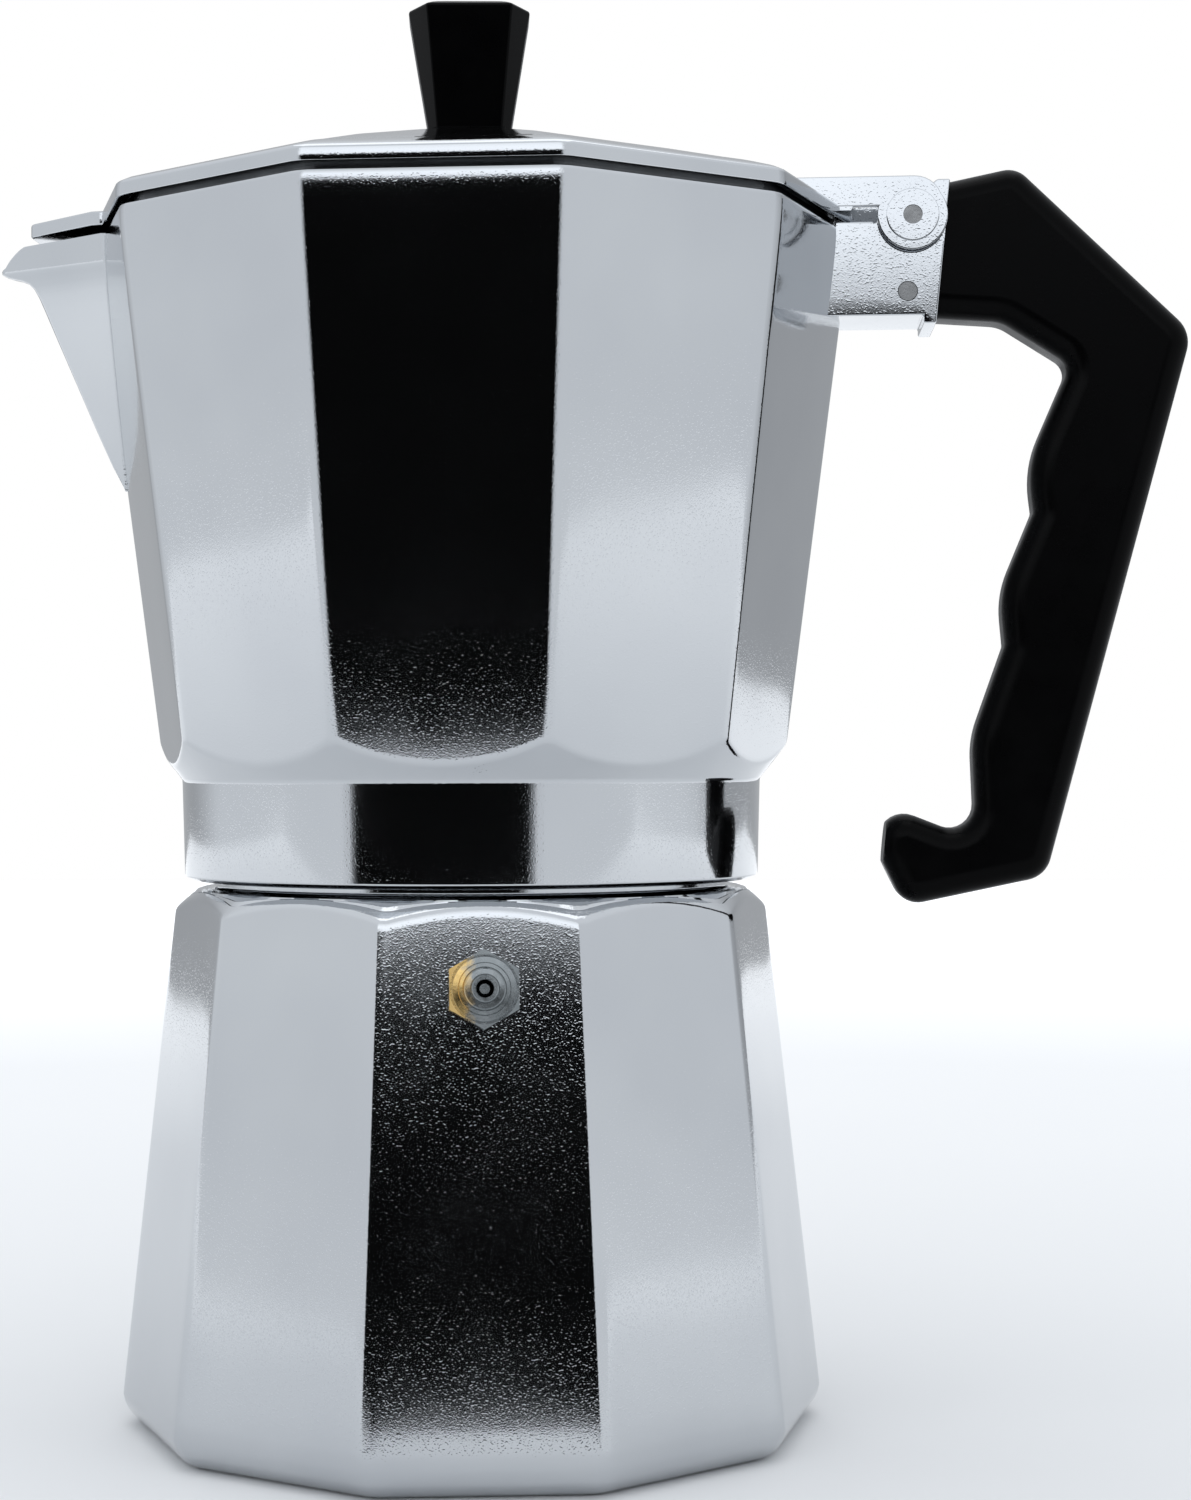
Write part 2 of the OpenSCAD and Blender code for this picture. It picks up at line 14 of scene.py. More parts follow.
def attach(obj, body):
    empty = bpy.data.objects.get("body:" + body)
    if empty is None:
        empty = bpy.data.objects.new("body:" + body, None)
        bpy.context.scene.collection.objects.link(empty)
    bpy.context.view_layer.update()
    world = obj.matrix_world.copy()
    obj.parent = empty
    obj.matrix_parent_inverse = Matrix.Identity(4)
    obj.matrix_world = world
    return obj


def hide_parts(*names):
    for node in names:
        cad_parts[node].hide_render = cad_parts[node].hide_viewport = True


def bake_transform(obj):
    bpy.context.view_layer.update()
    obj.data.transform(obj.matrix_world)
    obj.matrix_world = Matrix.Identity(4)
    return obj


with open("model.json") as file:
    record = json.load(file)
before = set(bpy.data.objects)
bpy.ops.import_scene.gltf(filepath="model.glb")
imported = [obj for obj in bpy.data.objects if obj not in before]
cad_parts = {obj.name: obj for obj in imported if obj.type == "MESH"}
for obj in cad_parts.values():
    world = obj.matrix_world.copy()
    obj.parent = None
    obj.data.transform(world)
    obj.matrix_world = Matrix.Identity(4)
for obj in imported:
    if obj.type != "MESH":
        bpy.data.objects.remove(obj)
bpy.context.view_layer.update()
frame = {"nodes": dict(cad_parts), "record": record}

MM = 0.001
SIDES = 10
nodes = frame["nodes"]


# ---- Materials ----
class Graph:
    """A small helper that adds nodes to one material and links them."""

    def __init__(self, name):
        self.material = bpy.data.materials.new(name)
        self.material.use_nodes = True
        self.tree = self.material.node_tree
        self.shader = self.tree.nodes["Principled BSDF"]
        self.place = self.add("ShaderNodeTexCoord").outputs["Object"]

    def add(self, kind, inputs=None, **settings):
        node = self.tree.nodes.new(kind)
        for key, value in settings.items():
            setattr(node, key, value)
        for key, value in (inputs or {}).items():
            if isinstance(value, bpy.types.NodeSocket):
                self.tree.links.new(value, node.inputs[key])
            else:
                node.inputs[key].default_value = value
        return node

    def link(self, output, socket):
        self.tree.links.new(output, self.shader.inputs[socket])

    def set(self, **values):
        for key, value in values.items():
            self.shader.inputs[key.replace("_", " ")].default_value = value

    def noise(self, scale, detail=2.0, rough=0.5, vector=None):
        inputs = {"Scale": scale, "Detail": detail, "Roughness": rough, "Vector": vector or self.place}
        return self.add("ShaderNodeTexNoise", inputs).outputs["Fac"]

    def remap(self, value, from_range, to_range):
        inputs = {
            "Value": value, "From Min": from_range[0], "From Max": from_range[1],
            "To Min": to_range[0], "To Max": to_range[1],
        }
        return self.add("ShaderNodeMapRange", inputs).outputs["Result"]

    def math(self, operation, a, b=0.0):
        return self.add("ShaderNodeMath", {0: a, 1: b}, operation=operation).outputs[0]

    def stretch(self, x, y, z):
        inputs = {"Vector": self.place, "Scale": (x, y, z)}
        return self.add("ShaderNodeMapping", inputs).outputs["Vector"]

    def mix(self, share, a, b):
        node = self.add("ShaderNodeMix", data_type="RGBA")
        for socket, value in ((node.inputs[0], share), (node.inputs[6], a), (node.inputs[7], b)):
            if isinstance(value, bpy.types.NodeSocket):
                self.tree.links.new(value, socket)
            else:
                socket.default_value = value
        return node.outputs[2]

    def bump(self, height, distance, normal=None):
        inputs = {"Height": height, "Distance": distance, "Strength": 1.0}
        if normal is not None:
            inputs["Normal"] = normal
        return self.add("ShaderNodeBump", inputs).outputs["Normal"]


def cast_aluminium(name, grain_depth, glint_depth):
    """Polished casting: mirror-like, with a fine grain that glints where dark meets bright."""
    g = Graph(name)
    g.set(Metallic=1.0)
    clouds = g.noise(22, 3)
    tone = g.mix(g.remap(clouds, (0.3, 0.7), (0, 1)), (0.51, 0.53, 0.555, 1), (0.57, 0.59, 0.61, 1))
    g.link(tone, "Base Color")
    rough = g.remap(g.noise(60, 4, 0.6), (0.3, 0.7), (0.045, 0.08))
    g.link(rough, "Roughness")
    grain = g.noise(4400, 1.0, 0.5)
    glints = g.remap(g.noise(3100, 0.0), (0.60, 0.80), (0, 1))
    lines = g.noise(1.0, 2.0, 0.5, g.stretch(1500, 1500, 25))
    normal = g.bump(grain, grain_depth * MM)
    normal = g.bump(glints, glint_depth * MM, normal=normal)
    normal = g.bump(lines, 0.0012 * MM, normal=normal)
    g.link(normal, "Normal")
    return g.material


def raw_aluminium():
    """The unpolished inside of a casting, with painted shade: a base colour much darker than bare aluminium.
    """
    g = Graph("raw_aluminium")
    g.set(Metallic=1.0)
    # Painted shade: the dark tone stands in for the shadow inside the pot and in the gap under the lid.
    tone = g.mix(g.noise(70, 4), (0.10, 0.105, 0.11, 1), (0.17, 0.175, 0.18, 1))
    g.link(tone, "Base Color")
    g.link(g.remap(g.noise(200, 3), (0.3, 0.7), (0.36, 0.5)), "Roughness")
    g.link(g.bump(g.noise(1300, 3, 0.6), 0.03 * MM), "Normal")
    return g.material


def sheet_aluminium():
    """Drawn and pressed sheet: the funnel, its sieve, the filter plate and the valve's washer."""
    g = Graph("sheet_aluminium")
    g.set(Metallic=1.0)
    tone = g.mix(g.noise(90, 3), (0.62, 0.63, 0.65, 1), (0.74, 0.75, 0.76, 1))
    g.link(tone, "Base Color")
    g.link(g.remap(g.noise(300, 3), (0.3, 0.7), (0.28, 0.42)), "Roughness")
    g.link(g.bump(g.noise(1500, 2), 0.01 * MM), "Normal")
    return g.material


def brass():
    """Nickel-plated brass, with the plating worn through on the side towards the spout."""
    g = Graph("brass")
    g.set(Metallic=1.0)
    bare = g.mix(g.noise(400, 3), (0.50, 0.33, 0.12, 1), (0.72, 0.52, 0.22, 1))
    plated = g.mix(g.noise(500, 3), (0.15, 0.168, 0.175, 1), (0.28, 0.30, 0.31, 1))
    across = g.add("ShaderNodeSeparateXYZ", {0: g.place}).outputs["X"]
    wear = g.math("ADD", across, g.remap(g.noise(700, 3, 0.6), (0, 1), (-2 * MM, 2 * MM)))
    g.link(g.mix(g.remap(wear, (3.6 * MM, 5.6 * MM), (0, 1)), bare, plated), "Base Color")
    g.link(g.remap(g.noise(900, 3), (0.3, 0.7), (0.16, 0.3)), "Roughness")
    g.link(g.bump(g.noise(2500, 2), 0.01 * MM), "Normal")
    return g.material


def steel():
    """Turned steel: pins, screw, washer and spring."""
    g = Graph("steel")
    g.set(Metallic=1.0)
    tone = g.mix(g.noise(500, 3), (0.20, 0.205, 0.21, 1), (0.32, 0.325, 0.33, 1))
    g.link(tone, "Base Color")
    g.link(g.remap(g.noise(900, 3), (0.3, 0.7), (0.2, 0.34)), "Roughness")
    g.link(g.bump(g.noise(2500, 2), 0.008 * MM), "Normal")
    return g.material


def silicone():
    """The cream-coloured gasket and the valve's seal."""
    g = Graph("silicone")
    tone = g.mix(g.noise(70, 3), (0.78, 0.75, 0.66, 1), (0.84, 0.82, 0.75, 1))
    g.link(tone, "Base Color")
    g.link(g.remap(g.noise(400, 3), (0.3, 0.7), (0.45, 0.6)), "Roughness")
    g.link(g.bump(g.noise(900, 3), 0.02 * MM), "Normal")
    return g.material


def black_resin():
    """Moulded black resin: nearly black, satin, with a faint flow texture."""
    g = Graph("black_resin")
    tone = g.mix(g.noise(35, 4), (0.0005, 0.0005, 0.0006, 1), (0.0010, 0.0010, 0.0012, 1))
    g.link(tone, "Base Color")
    g.set(Specular_IOR_Level=0.05)
    g.link(g.remap(g.noise(120, 4, 0.6), (0.3, 0.7), (0.24, 0.34)), "Roughness")
    g.link(g.bump(g.noise(1400, 3, 0.6), 0.006 * MM), "Normal")
    return g.material


MATERIALS = {
    "cast_aluminium": cast_aluminium("cast_aluminium", 0.0020, 0.0034),
    "satin_casting": cast_aluminium("satin_casting", 0.0030, 0.0046),
    "raw_aluminium": raw_aluminium(),
    "sheet_aluminium": sheet_aluminium(),
    "brass": brass(),
    "steel": steel(),
    "silicone": silicone(),
    "black_resin": black_resin(),
}


def dress(obj, material):
    """Gives an object one material and no other."""
    obj.data.materials.clear()
    obj.data.materials.append(material)


for part in frame["record"]["subparts"]:
    dress(nodes[part["node"]], MATERIALS[part["material_slot"]])


# ---- Mesh helpers ----
SMOOTH_LIMIT = 32.0
RESIN_SMOOTH_LIMIT = 40.0
# Degrees from a corner at which a ten-sided outline has a point; the first two edge its chamfer.
CORNER_OFFSETS = (-0.55, 0.55, 1.15, 2.5, 5, 8, 11.5, 15, 18, 21, 24.5, 28, 31, 33.5, 34.85)
CHAMFER_HALF = 0.85
FACET_HALF = 180 / SIDES
# Half the depth of a cut that runs right through from side to side.
THROUGH = 12


def cos_deg(angle):
    return math.cos(math.radians(angle))


def sin_deg(angle):
    return math.sin(math.radians(angle))


def corner_distance(angle, turn):
    """Degrees from the nearest corner of a ten-sided outline turned by turn degrees."""
    off = (angle - turn) % (2 * FACET_HALF)
    return min(off, 2 * FACET_HALF - off)


def outline_share(off):
    """Radius of a ten-sided outline with narrow chamfers, as a share of its corner radius."""
    side = cos_deg(FACET_HALF) / cos_deg(FACET_HALF - off)
    edge = cos_deg(FACET_HALF) / cos_deg(FACET_HALF - CHAMFER_HALF)
    return min(side, edge * cos_deg(CHAMFER_HALF) / cos_deg(off))


def crown(off, depth, reach=9.0):
    """How far a side bows in towards its edges."""
    return depth * max(0.0, 1 - off / reach) ** 2


def soft_min(a, b, blend):
    """The smaller of two values, with a rounded change from one to the other."""
    h = max(blend - abs(a - b), 0.0) / blend
    return min(a, b) - h * h * blend / 4


def interpolate(points, at):
    """Value of a broken line given as (place, value) pairs."""
    for (x0, y0), (x1, y1) in zip(points, points[1:]):
        if at <= x1:
            return y0 + (y1 - y0) * (at - x0) / (x1 - x0)
    return points[-1][1]


def arc(cx, cy, r, start, end, steps):
    """Points on a circle, from a start angle to an end angle in degrees."""
    return [
        (cx + r * cos_deg(start + (end - start) * i / steps),
         cy + r * sin_deg(start + (end - start) * i / steps))
        for i in range(steps + 1)]


def new_object(name, bm, material, body, sharp=SMOOTH_LIMIT):
    """Turns a bmesh in millimetres into a smooth piece that rides on a body."""
    bmesh.ops.recalc_face_normals(bm, faces=bm.faces)
    bmesh.ops.scale(bm, vec=(MM, MM, MM), verts=bm.verts)
    mesh = bpy.data.meshes.new(name)
    bm.to_mesh(mesh)
    bm.free()
    finish_mesh(mesh, sharp)
    obj = bpy.data.objects.new(name, mesh)
    bpy.context.scene.collection.objects.link(obj)
    dress(obj, MATERIALS[material])
    if body is not None:
        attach(obj, body)
    return obj


def finish_mesh(mesh, sharp=SMOOTH_LIMIT):
    """Smooth shading, but for edges sharper than a limit in degrees."""
    mesh.shade_smooth()
    mesh.set_sharp_from_angle(angle=math.radians(sharp))


def even_normals(obj):
    """Large flat faces keep their own direction beside small rounded edges."""
    modifier = obj.modifiers.new("even_normals", "WEIGHTED_NORMAL")
    modifier.keep_sharp = True
    modifier.weight = 100


def loft(rings, wrap=False):
    """A skin over rings of points. A ring of one point closes an end; wrap joins the last to the first."""
    bm = bmesh.new()
    rows = [[bm.verts.new(p) for p in ring] for ring in rings]
    for low, high in zip(rows, rows[1:] + rows[:1] if wrap else rows[1:]):
        count = max(len(low), len(high))
        for i in range(count):
            n = (i + 1) % count
            quad = [low[i % len(low)], low[n % len(low)], high[n % len(high)], high[i % len(high)]]
            bm.faces.new(list(dict.fromkeys(quad)))
    for row in () if wrap else (rows[0], rows[-1]):
        if len(row) > 2:
            bm.faces.new(row)
    return bm


def columns_to_rings(columns):
    """Columns are (angle, [(radius, height), ...]) with equally many points each."""
    rings = []
    for i in range(len(columns[0][1])):
        rings.append([
            (profile[i][0] * cos_deg(angle), profile[i][0] * sin_deg(angle), profile[i][1])
            for angle, profile in columns])
    return [r if max(abs(c) for p in r for c in p[:2]) > 1e-6 else r[:1] for r in rings]


def boolean(obj, other, operation):
    """Applies a boolean with another object and removes that object."""
    modifier = obj.modifiers.new("boolean", "BOOLEAN")
    modifier.object = other
    modifier.operation = operation
    modifier.solver = "MANIFOLD"
    graph = bpy.context.evaluated_depsgraph_get()
    mesh = bpy.data.meshes.new_from_object(obj.evaluated_get(graph))
    obj.modifiers.remove(modifier)
    old = obj.data
    obj.data = mesh
    bpy.data.meshes.remove(old)
    bpy.data.objects.remove(other)


def bevel(bm, sharper_than, width, segments):
    """Rounds the edges that turn by more than an angle in degrees."""
    bmesh.ops.recalc_face_normals(bm, faces=bm.faces)
    edges = [e for e in bm.edges if e.calc_face_angle(0) > math.radians(sharper_than)]
    bmesh.ops.bevel(bm, geom=edges, offset=width, segments=segments, profile=0.5, affect="EDGES")


def extruded(outline, low_y, high_y, edge=0.0):
    """A solid from a side-view outline of (x, z) points, between two depths."""
    bm = bmesh.new()
    near = [bm.verts.new((x, low_y, z)) for x, z in outline]
    far = [bm.verts.new((x, high_y, z)) for x, z in outline]
    bm.faces.new(near)
    bm.faces.new(far[::-1])
    for i in range(len(outline)):
        n = (i + 1) % len(outline)
        bm.faces.new([near[n], near[i], far[i], far[n]])
    if edge:
        bevel(bm, 25, edge, 2)
    return bm


def helper(name, bm):
    """An object that only lives until a boolean has used it."""
    return new_object(name, bm, "cast_aluminium", None)


def disc_outline(x, z, r, steps=48):
    """A full circle in side view, without its first point twice."""
    return arc(x, z, r, 0, 360 * (steps - 1) / steps, steps - 1)


def drill(obj, x, z, r, low_y=-THROUGH, high_y=THROUGH, steps=48):
    """Cuts a round hole that runs from side to side."""
    cut = extruded(disc_outline(x, z, r, steps), low_y, high_y)
    boolean(obj, helper("cut", cut), "DIFFERENCE")


def rod(x, y, low, high, r, steps=48):
    """An upright round rod, for a hole to be cut with."""
    ring = disc_outline(x, y, r, steps)
    return helper("cut", loft([[(px, py, z) for px, py in ring] for z in (low, high)]))


def block(low, high):
    """A box between two corners, for a pocket to be cut with."""
    outline = [(low[0], low[2]), (high[0], low[2]), (high[0], high[2]), (low[0], high[2])]
    return helper("cut", extruded(outline, low[1], high[1]))


# ---- Jug ----
RIM_R, RIM_Z, FLARE, WALL = 67.1, 207.0, 0.13, 3.2
COLLAR_R, COLLAR_TOP, COLLAR_LOW, COLLAR_BORE = 50.5, 112.3, 94.9, 45.9
# The turned bowl under the jug's sides: height and radius.
BOWL = ((112.3, 50.55), (113.2, 51.1), (114.5, 52.2), (116, 53.5), (118, 55.0), (120, 56.3), (123, 58.0),
        (127, 60.5), (140, 68), (210, 80))
PLATE_SEAT, INNER_FLOOR, COLUMN_TOP, COLUMN_BORE = 111.8, 121.3, 188.0, 4.0
FLOOR_FILLET, FLOOR_FILLET_AT = 10.0, 42.0


def jug_corner(z):
    """Corner radius of the jug at a height."""
    return RIM_R - FLARE * (RIM_Z - z)


def rim_bow(z):
    """How far the wall leans in near the rim, where the polishing wheel ran over the edge."""
    low = max(0.0, 1 - (RIM_Z - z) / 13)
    high = max(0.0, 1 - (RIM_Z - z) / 4.5)
    return 0.25 * low * low + 0.25 * high * high


def jug_outside(angle, z):
    """Radius of the outer wall, with the bowl cutting it at the bottom."""
    off = corner_distance(angle, 0)
    side = jug_corner(z) * outline_share(off) - crown(off, 0.1) - rim_bow(z)
    return soft_min(side, interpolate(BOWL, z), 0.4)


def jug_inside(angle, z):
    """Radius of the inner wall, rounded into the floor."""
    off = corner_distance(angle, 0)
    side = (jug_corner(z) - WALL) * outline_share(off)
    above = z - INNER_FLOOR - FLOOR_FILLET
    if above >= 0:
        return soft_min(side, FLOOR_FILLET_AT + FLOOR_FILLET + above * 0.6, 1.0)
    turned_r = FLOOR_FILLET_AT + math.sqrt(max(FLOOR_FILLET ** 2 - above ** 2, 0.0))
    return soft_min(side, turned_r, 1.0)


def arch_height(radius_at, limit_at, low, high):
    """Height at which a side meets the turned surface that cuts it."""
    for _ in range(30):
        middle = (low + high) / 2
        if radius_at(middle) > limit_at(middle):
            low = middle
        else:
            high = middle
    return middle


def jug_column(angle):
    """The jug's section at an angle, from the passage round the outside and back to the column's top."""
    share = outline_share(corner_distance(angle, 0))
    arch = arch_height(lambda z: jug_corner(z) * share, lambda z: interpolate(BOWL, z), 112.5, 124)
    under = [
        (0, COLUMN_TOP - 3), (COLUMN_BORE - 0.6, COLUMN_TOP - 4.6), (COLUMN_BORE, COLUMN_TOP - 5.4),
        (COLUMN_BORE, 150), (COLUMN_BORE, PLATE_SEAT + 9), (COLUMN_BORE + 1, PLATE_SEAT + 7),
        (14, PLATE_SEAT + 4.7), (34, PLATE_SEAT + 0.1), (34.3, PLATE_SEAT), (COLLAR_BORE - 0.4, PLATE_SEAT),
        (COLLAR_BORE, PLATE_SEAT - 0.4), (COLLAR_BORE, 100), (COLLAR_BORE, COLLAR_LOW + 0.6),
        (COLLAR_BORE + 0.6, COLLAR_LOW)]
    collar = [
        (COLLAR_R - 2.6, COLLAR_LOW), (COLLAR_R - 2.1, COLLAR_LOW + 0.1),
        (COLLAR_R - 0.55, COLLAR_LOW + 0.75), (COLLAR_R - 0.4, COLLAR_LOW + 1.0),
        (COLLAR_R - 0.2, 104), (COLLAR_R, COLLAR_TOP - 0.6)]
    heights = [COLLAR_TOP, COLLAR_TOP + 0.3, COLLAR_TOP + (arch - COLLAR_TOP) * 0.5]
    heights += [arch + d for d in (-0.5, -0.25, 0, 0.25, 0.55, 1.1)]
    heights += [124, 130, 140, 152, 166, 180, 190, 195, 198, 200.5, 202.5, 203.5, 204.5]
    heights += [205.3, 206.0, 206.5]
    outside = [(jug_outside(angle, z), z) for z in heights]
    edge_r = jug_outside(angle, RIM_Z)
    inner_r = jug_inside(angle, RIM_Z)
    rim = [
        (edge_r - 0.15, RIM_Z - 0.15), (edge_r - 0.5, RIM_Z), (inner_r + 0.5, RIM_Z),
        (inner_r + 0.1, RIM_Z - 0.3)]
    inner_z = [206.3, 200, 185, 165, 145, 136, 131.3, 129, 127, 125, 123.5, 122.4, 121.7, 121.4]
    inside = [(jug_inside(angle, z), z) for z in inner_z]
    floor = [
        (FLOOR_FILLET_AT, INNER_FLOOR), (30, INNER_FLOOR), (18.5, INNER_FLOOR), (16.5, 121.6), (13.8, 122.7),
        (11.8, 124.6), (10.4, 127.4), (9.3, 131), (8.6, 136), (8.2, 141), (7.8, 160)]
    column = [
        (7.4, COLUMN_TOP - 5), (7.2, COLUMN_TOP - 3.4), (6.6, COLUMN_TOP - 1.8), (5.6, COLUMN_TOP - 0.8),
        (4.2, COLUMN_TOP - 0.2), (0, COLUMN_TOP)]
    return angle, under + collar + outside + rim + inside + floor + column


def ten_sided_angles(turn):
    """All the angles at which a ten-sided outline has a point."""
    return [turn + 2 * FACET_HALF * k + off for k in range(SIDES) for off in CORNER_OFFSETS]


# The spout, level by level: height, reach of the keel or lip, radius of its nose.
SPOUT_ROOT, SPOUT_HALF = 163.5, 13.4
SPOUT_LEVELS = (
    (163.5, 61.5, 0.5), (168, 63.9, 0.8), (174, 66.6, 1.0), (180, 69.2, 1.1), (186, 71.8, 1.3),
    (192, 74.4, 1.5), (195.5, 75.9, 1.6), (198, 77.0, 1.8), (199.6, 77.9, 2.0), (200.6, 78.9, 2.1),
    (201.1, 80.2, 2.1), (201.4, 81.6, 2.0), (201.8, 82.8, 1.8), (202.3, 83.7, 1.6), (202.8, 83.75, 1.6),
    (203.6, 83.3, 1.8), (204.6, 82.6, 2.1), (205.6, 81.7, 2.4), (206.5, 80.7, 2.8), (206.95, 80.0, 3.0))
# The channel inside it: height, reach, radius of its end, then where it is narrow and half how wide.
CHANNEL_LEVELS = (
    (170, 61.2, 0.4, 60.8, 0.4), (176, 64.4, 0.6, 63.8, 0.6), (184, 68.2, 0.8, 67.4, 0.9),
    (192, 71.8, 1.0, 70.8, 1.1),
    (197, 74.2, 1.1, 73.1, 1.3), (199.6, 75.8, 1.1, 74.7, 1.4), (201.2, 77.4, 1.1, 75.9, 1.6),
    (202.2, 79.4, 1.1, 76.5, 1.9), (202.8, 82.0, 1.0, 76.9, 2.0), (203.2, 84.4, 1.0, 77.0, 2.0),
    (203.4, 86.5, 1.0, 77.1, 2.0), (209, 86.5, 1.0, 76.4, 2.3))


def spout_half(z):
    """Half the spout's width where it meets the jug's side."""
    return SPOUT_HALF * max(0.0, (z - SPOUT_ROOT) / (RIM_Z - SPOUT_ROOT)) ** 1.15


def side_x(z, half):
    """X of the jug's side on the spout's corner, at a distance from the middle plane."""
    return -(jug_corner(z) - half * math.tan(math.radians(FACET_HALF)))


def nose(point, reach, r, steps=6):
    """Half an outline in plan: from a point on the jug's side to the rounded tip at y = 0."""
    centre = (-reach + r, 0.0)
    dx, dy = point[0] - centre[0], point[1] - centre[1]
    turn = math.degrees(math.atan2(dy, dx)) - math.degrees(math.acos(min(1.0, r / math.hypot(dx, dy))))
    return [point] + arc(centre[0], centre[1], r, turn % 360 - 360, -180, steps)


def spout_solid():
    """The spout's outer body, which runs a little way into the jug's wall."""
    rings = []
    for z, reach, r in SPOUT_LEVELS:
        half = spout_half(z) + 0.3
        on_side = side_x(z, half) - 0.2
        line = nose((on_side, -half), reach, r)
        inner = [(on_side + 2.0, -half + 0.4), (-jug_corner(z) + 1.8, 0)]
        loop = inner[::-1] + line + [(x, -y) for x, y in line[-2::-1]] + [(inner[0][0], -inner[0][1])]
        rings.append([(x, y, z) for x, y in loop])
    return loft(rings)


def channel_solid():
    """The space inside the spout, open towards the jug and at the lip."""
    rings = []
    for z, reach, r, waist_x, waist_half in CHANNEL_LEVELS:
        half = max(0.8, spout_half(z) - 2.0)
        on_side = side_x(z, half)
        waist_x = max(waist_x, 0.3 - on_side)
        line = [(-50, -half - 1), (on_side, -half), (-waist_x, -waist_half)]
        line += arc(-max(reach - r, waist_x + 0.2), 0, r, -95, -180, 4)
        loop = line + [(x, -y) for x, y in line[-2::-1]]
        rings.append([(x, y, z) for x, y in loop])
    return loft(rings)


def make_jug():
    """The upper casting: jug, collar, column, spout and bracket."""
    columns = [jug_column(a) for a in ten_sided_angles(0)]
    jug = new_object("jug_casting", loft(columns_to_rings(columns)), "cast_aluminium", "jug_set")
    boolean(jug, helper("spout", spout_solid()), "UNION")
    boolean(jug, helper("channel", channel_solid()), "DIFFERENCE")
    boolean(jug, make_bracket(), "UNION")
    boolean(jug, block((-12, -1.6, COLUMN_TOP - 14), (12, 1.6, COLUMN_TOP - 7)), "DIFFERENCE")
    finish_mesh(jug.data)
    even_normals(jug)
    # The jug's inside gets the unpolished look with a painted shade.
    paint_inside(jug, lambda c: c.z > PLATE_SEAT and jug_is_inside(c))
    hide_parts("jug")


def jug_is_inside(centre):
    """Whether a face belongs to the jug's inner wall, unpolished and painted dark as shade."""
    r = math.hypot(centre.x, centre.y)
    angle = math.degrees(math.atan2(centre.y, centre.x))
    return r < jug_inside(angle, min(centre.z, RIM_Z)) + 0.4 and centre.z < RIM_Z - 0.2


def paint_inside(obj, test):
    """Gives the faces whose centre passes the test the unpolished casting's look, dark with painted shade.
    """
    obj.data.materials.append(MATERIALS["raw_aluminium"])
    for face in obj.data.polygons:
        face.material_index = 1 if test(face.center / MM) else 0


# ---- Bracket that carries the hinge and the handle ----
HINGE_X, HINGE_Z, CROSS_X, CROSS_Z, PIN_R = 76.9, 208.7, 76.0, 195.6, 1.6
BRACKET_HALF, BRACKET_LOW, BRACKET_TOP = 8.5, 191.5, 207.6
LIP_LOW, LIP_HIGH, LIP_T = (80.9, 190.1), (83.4, 215.1), 2.2
KNUCKLE_R, KNUCKLE_HALF, EAR_GAP, RECESS_R = 6.0, 6.6, 0.3, 6.95
TONGUE_LOW, TONGUE_HIGH, TONGUE_GAP = (67.5, -4.9, 193.6), (85.0, 4.9, 201.6), 0.1
POCKET_END_X = 87.5


def make_bracket():
    """The bracket with its lip, the hinge knuckle, two pin holes and the pocket for the handle's tongue."""
    inner_low = jug_corner(BRACKET_LOW) - WALL
    inner_high = jug_corner(BRACKET_TOP) - WALL - 0.4
    face_x = LIP_LOW[0] - LIP_T
    lip_middle = [a + (b - a) * 0.7 for a, b in zip(LIP_LOW, LIP_HIGH)]
    wall = [
        (inner_low, BRACKET_LOW), (face_x, BRACKET_LOW), (face_x, LIP_LOW[1]), LIP_LOW, tuple(lip_middle),
        (79.5, BRACKET_TOP), (inner_high, BRACKET_TOP)]
    bracket = helper("bracket", extruded(wall, -BRACKET_HALF, BRACKET_HALF, 0.35))
    knuckle = [
        (face_x, LIP_LOW[1] + 2), (LIP_LOW[0], LIP_LOW[1] + 2), LIP_HIGH, (LIP_HIGH[0] - LIP_T, LIP_HIGH[1]),
        (72, BRACKET_TOP), (72, BRACKET_LOW + 2)]
    for outline in (knuckle, disc_outline(HINGE_X, HINGE_Z, KNUCKLE_R)):
        boolean(bracket, helper("knuckle", extruded(outline, -KNUCKLE_HALF, KNUCKLE_HALF, 0.3)), "UNION")
    for low, high in ((-THROUGH, -KNUCKLE_HALF - 0.02), (KNUCKLE_HALF + 0.02, THROUGH)):
        drill(bracket, HINGE_X, HINGE_Z, RECESS_R, low, high, 64)
    drill(bracket, HINGE_X, HINGE_Z, PIN_R)
    drill(bracket, CROSS_X, CROSS_Z, PIN_R + 0.12)
    pocket_low = [c - TONGUE_GAP for c in TONGUE_LOW]
    pocket_high = (POCKET_END_X, TONGUE_HIGH[1] + TONGUE_GAP, TONGUE_HIGH[2] + TONGUE_GAP)
    boolean(bracket, block(pocket_low, pocket_high), "DIFFERENCE")
    return bracket


# ---- Boiler ----
FOOT_R, FOOT_TAPER, FOOT_EDGE, BOILER_TURN = 61.0, 0.111, 6.0, 7.4
SHOULDER_Z, SHOULDER_R, SHOULDER_SLOPE = 93.3, 48.0, 1.15
NECK_R, NECK_Z, NECK_BORE, BOILER_WALL, BOILER_FLOOR = 44.6, 107.0, 41.5, 4.0, 5.0
CAVITY_FILLET, CAVITY_TOP_Z, GROOVE_DEPTH = 9, 81.3, 0.22


def boiler_corner(z):
    """Corner radius of the boiler at a height."""
    return FOOT_R - FOOT_TAPER * (z - 10)


def shoulder_radius(z):
    """Radius of the turned cone that cuts the boiler's corners at the top."""
    return SHOULDER_R + (SHOULDER_Z - z) * SHOULDER_SLOPE


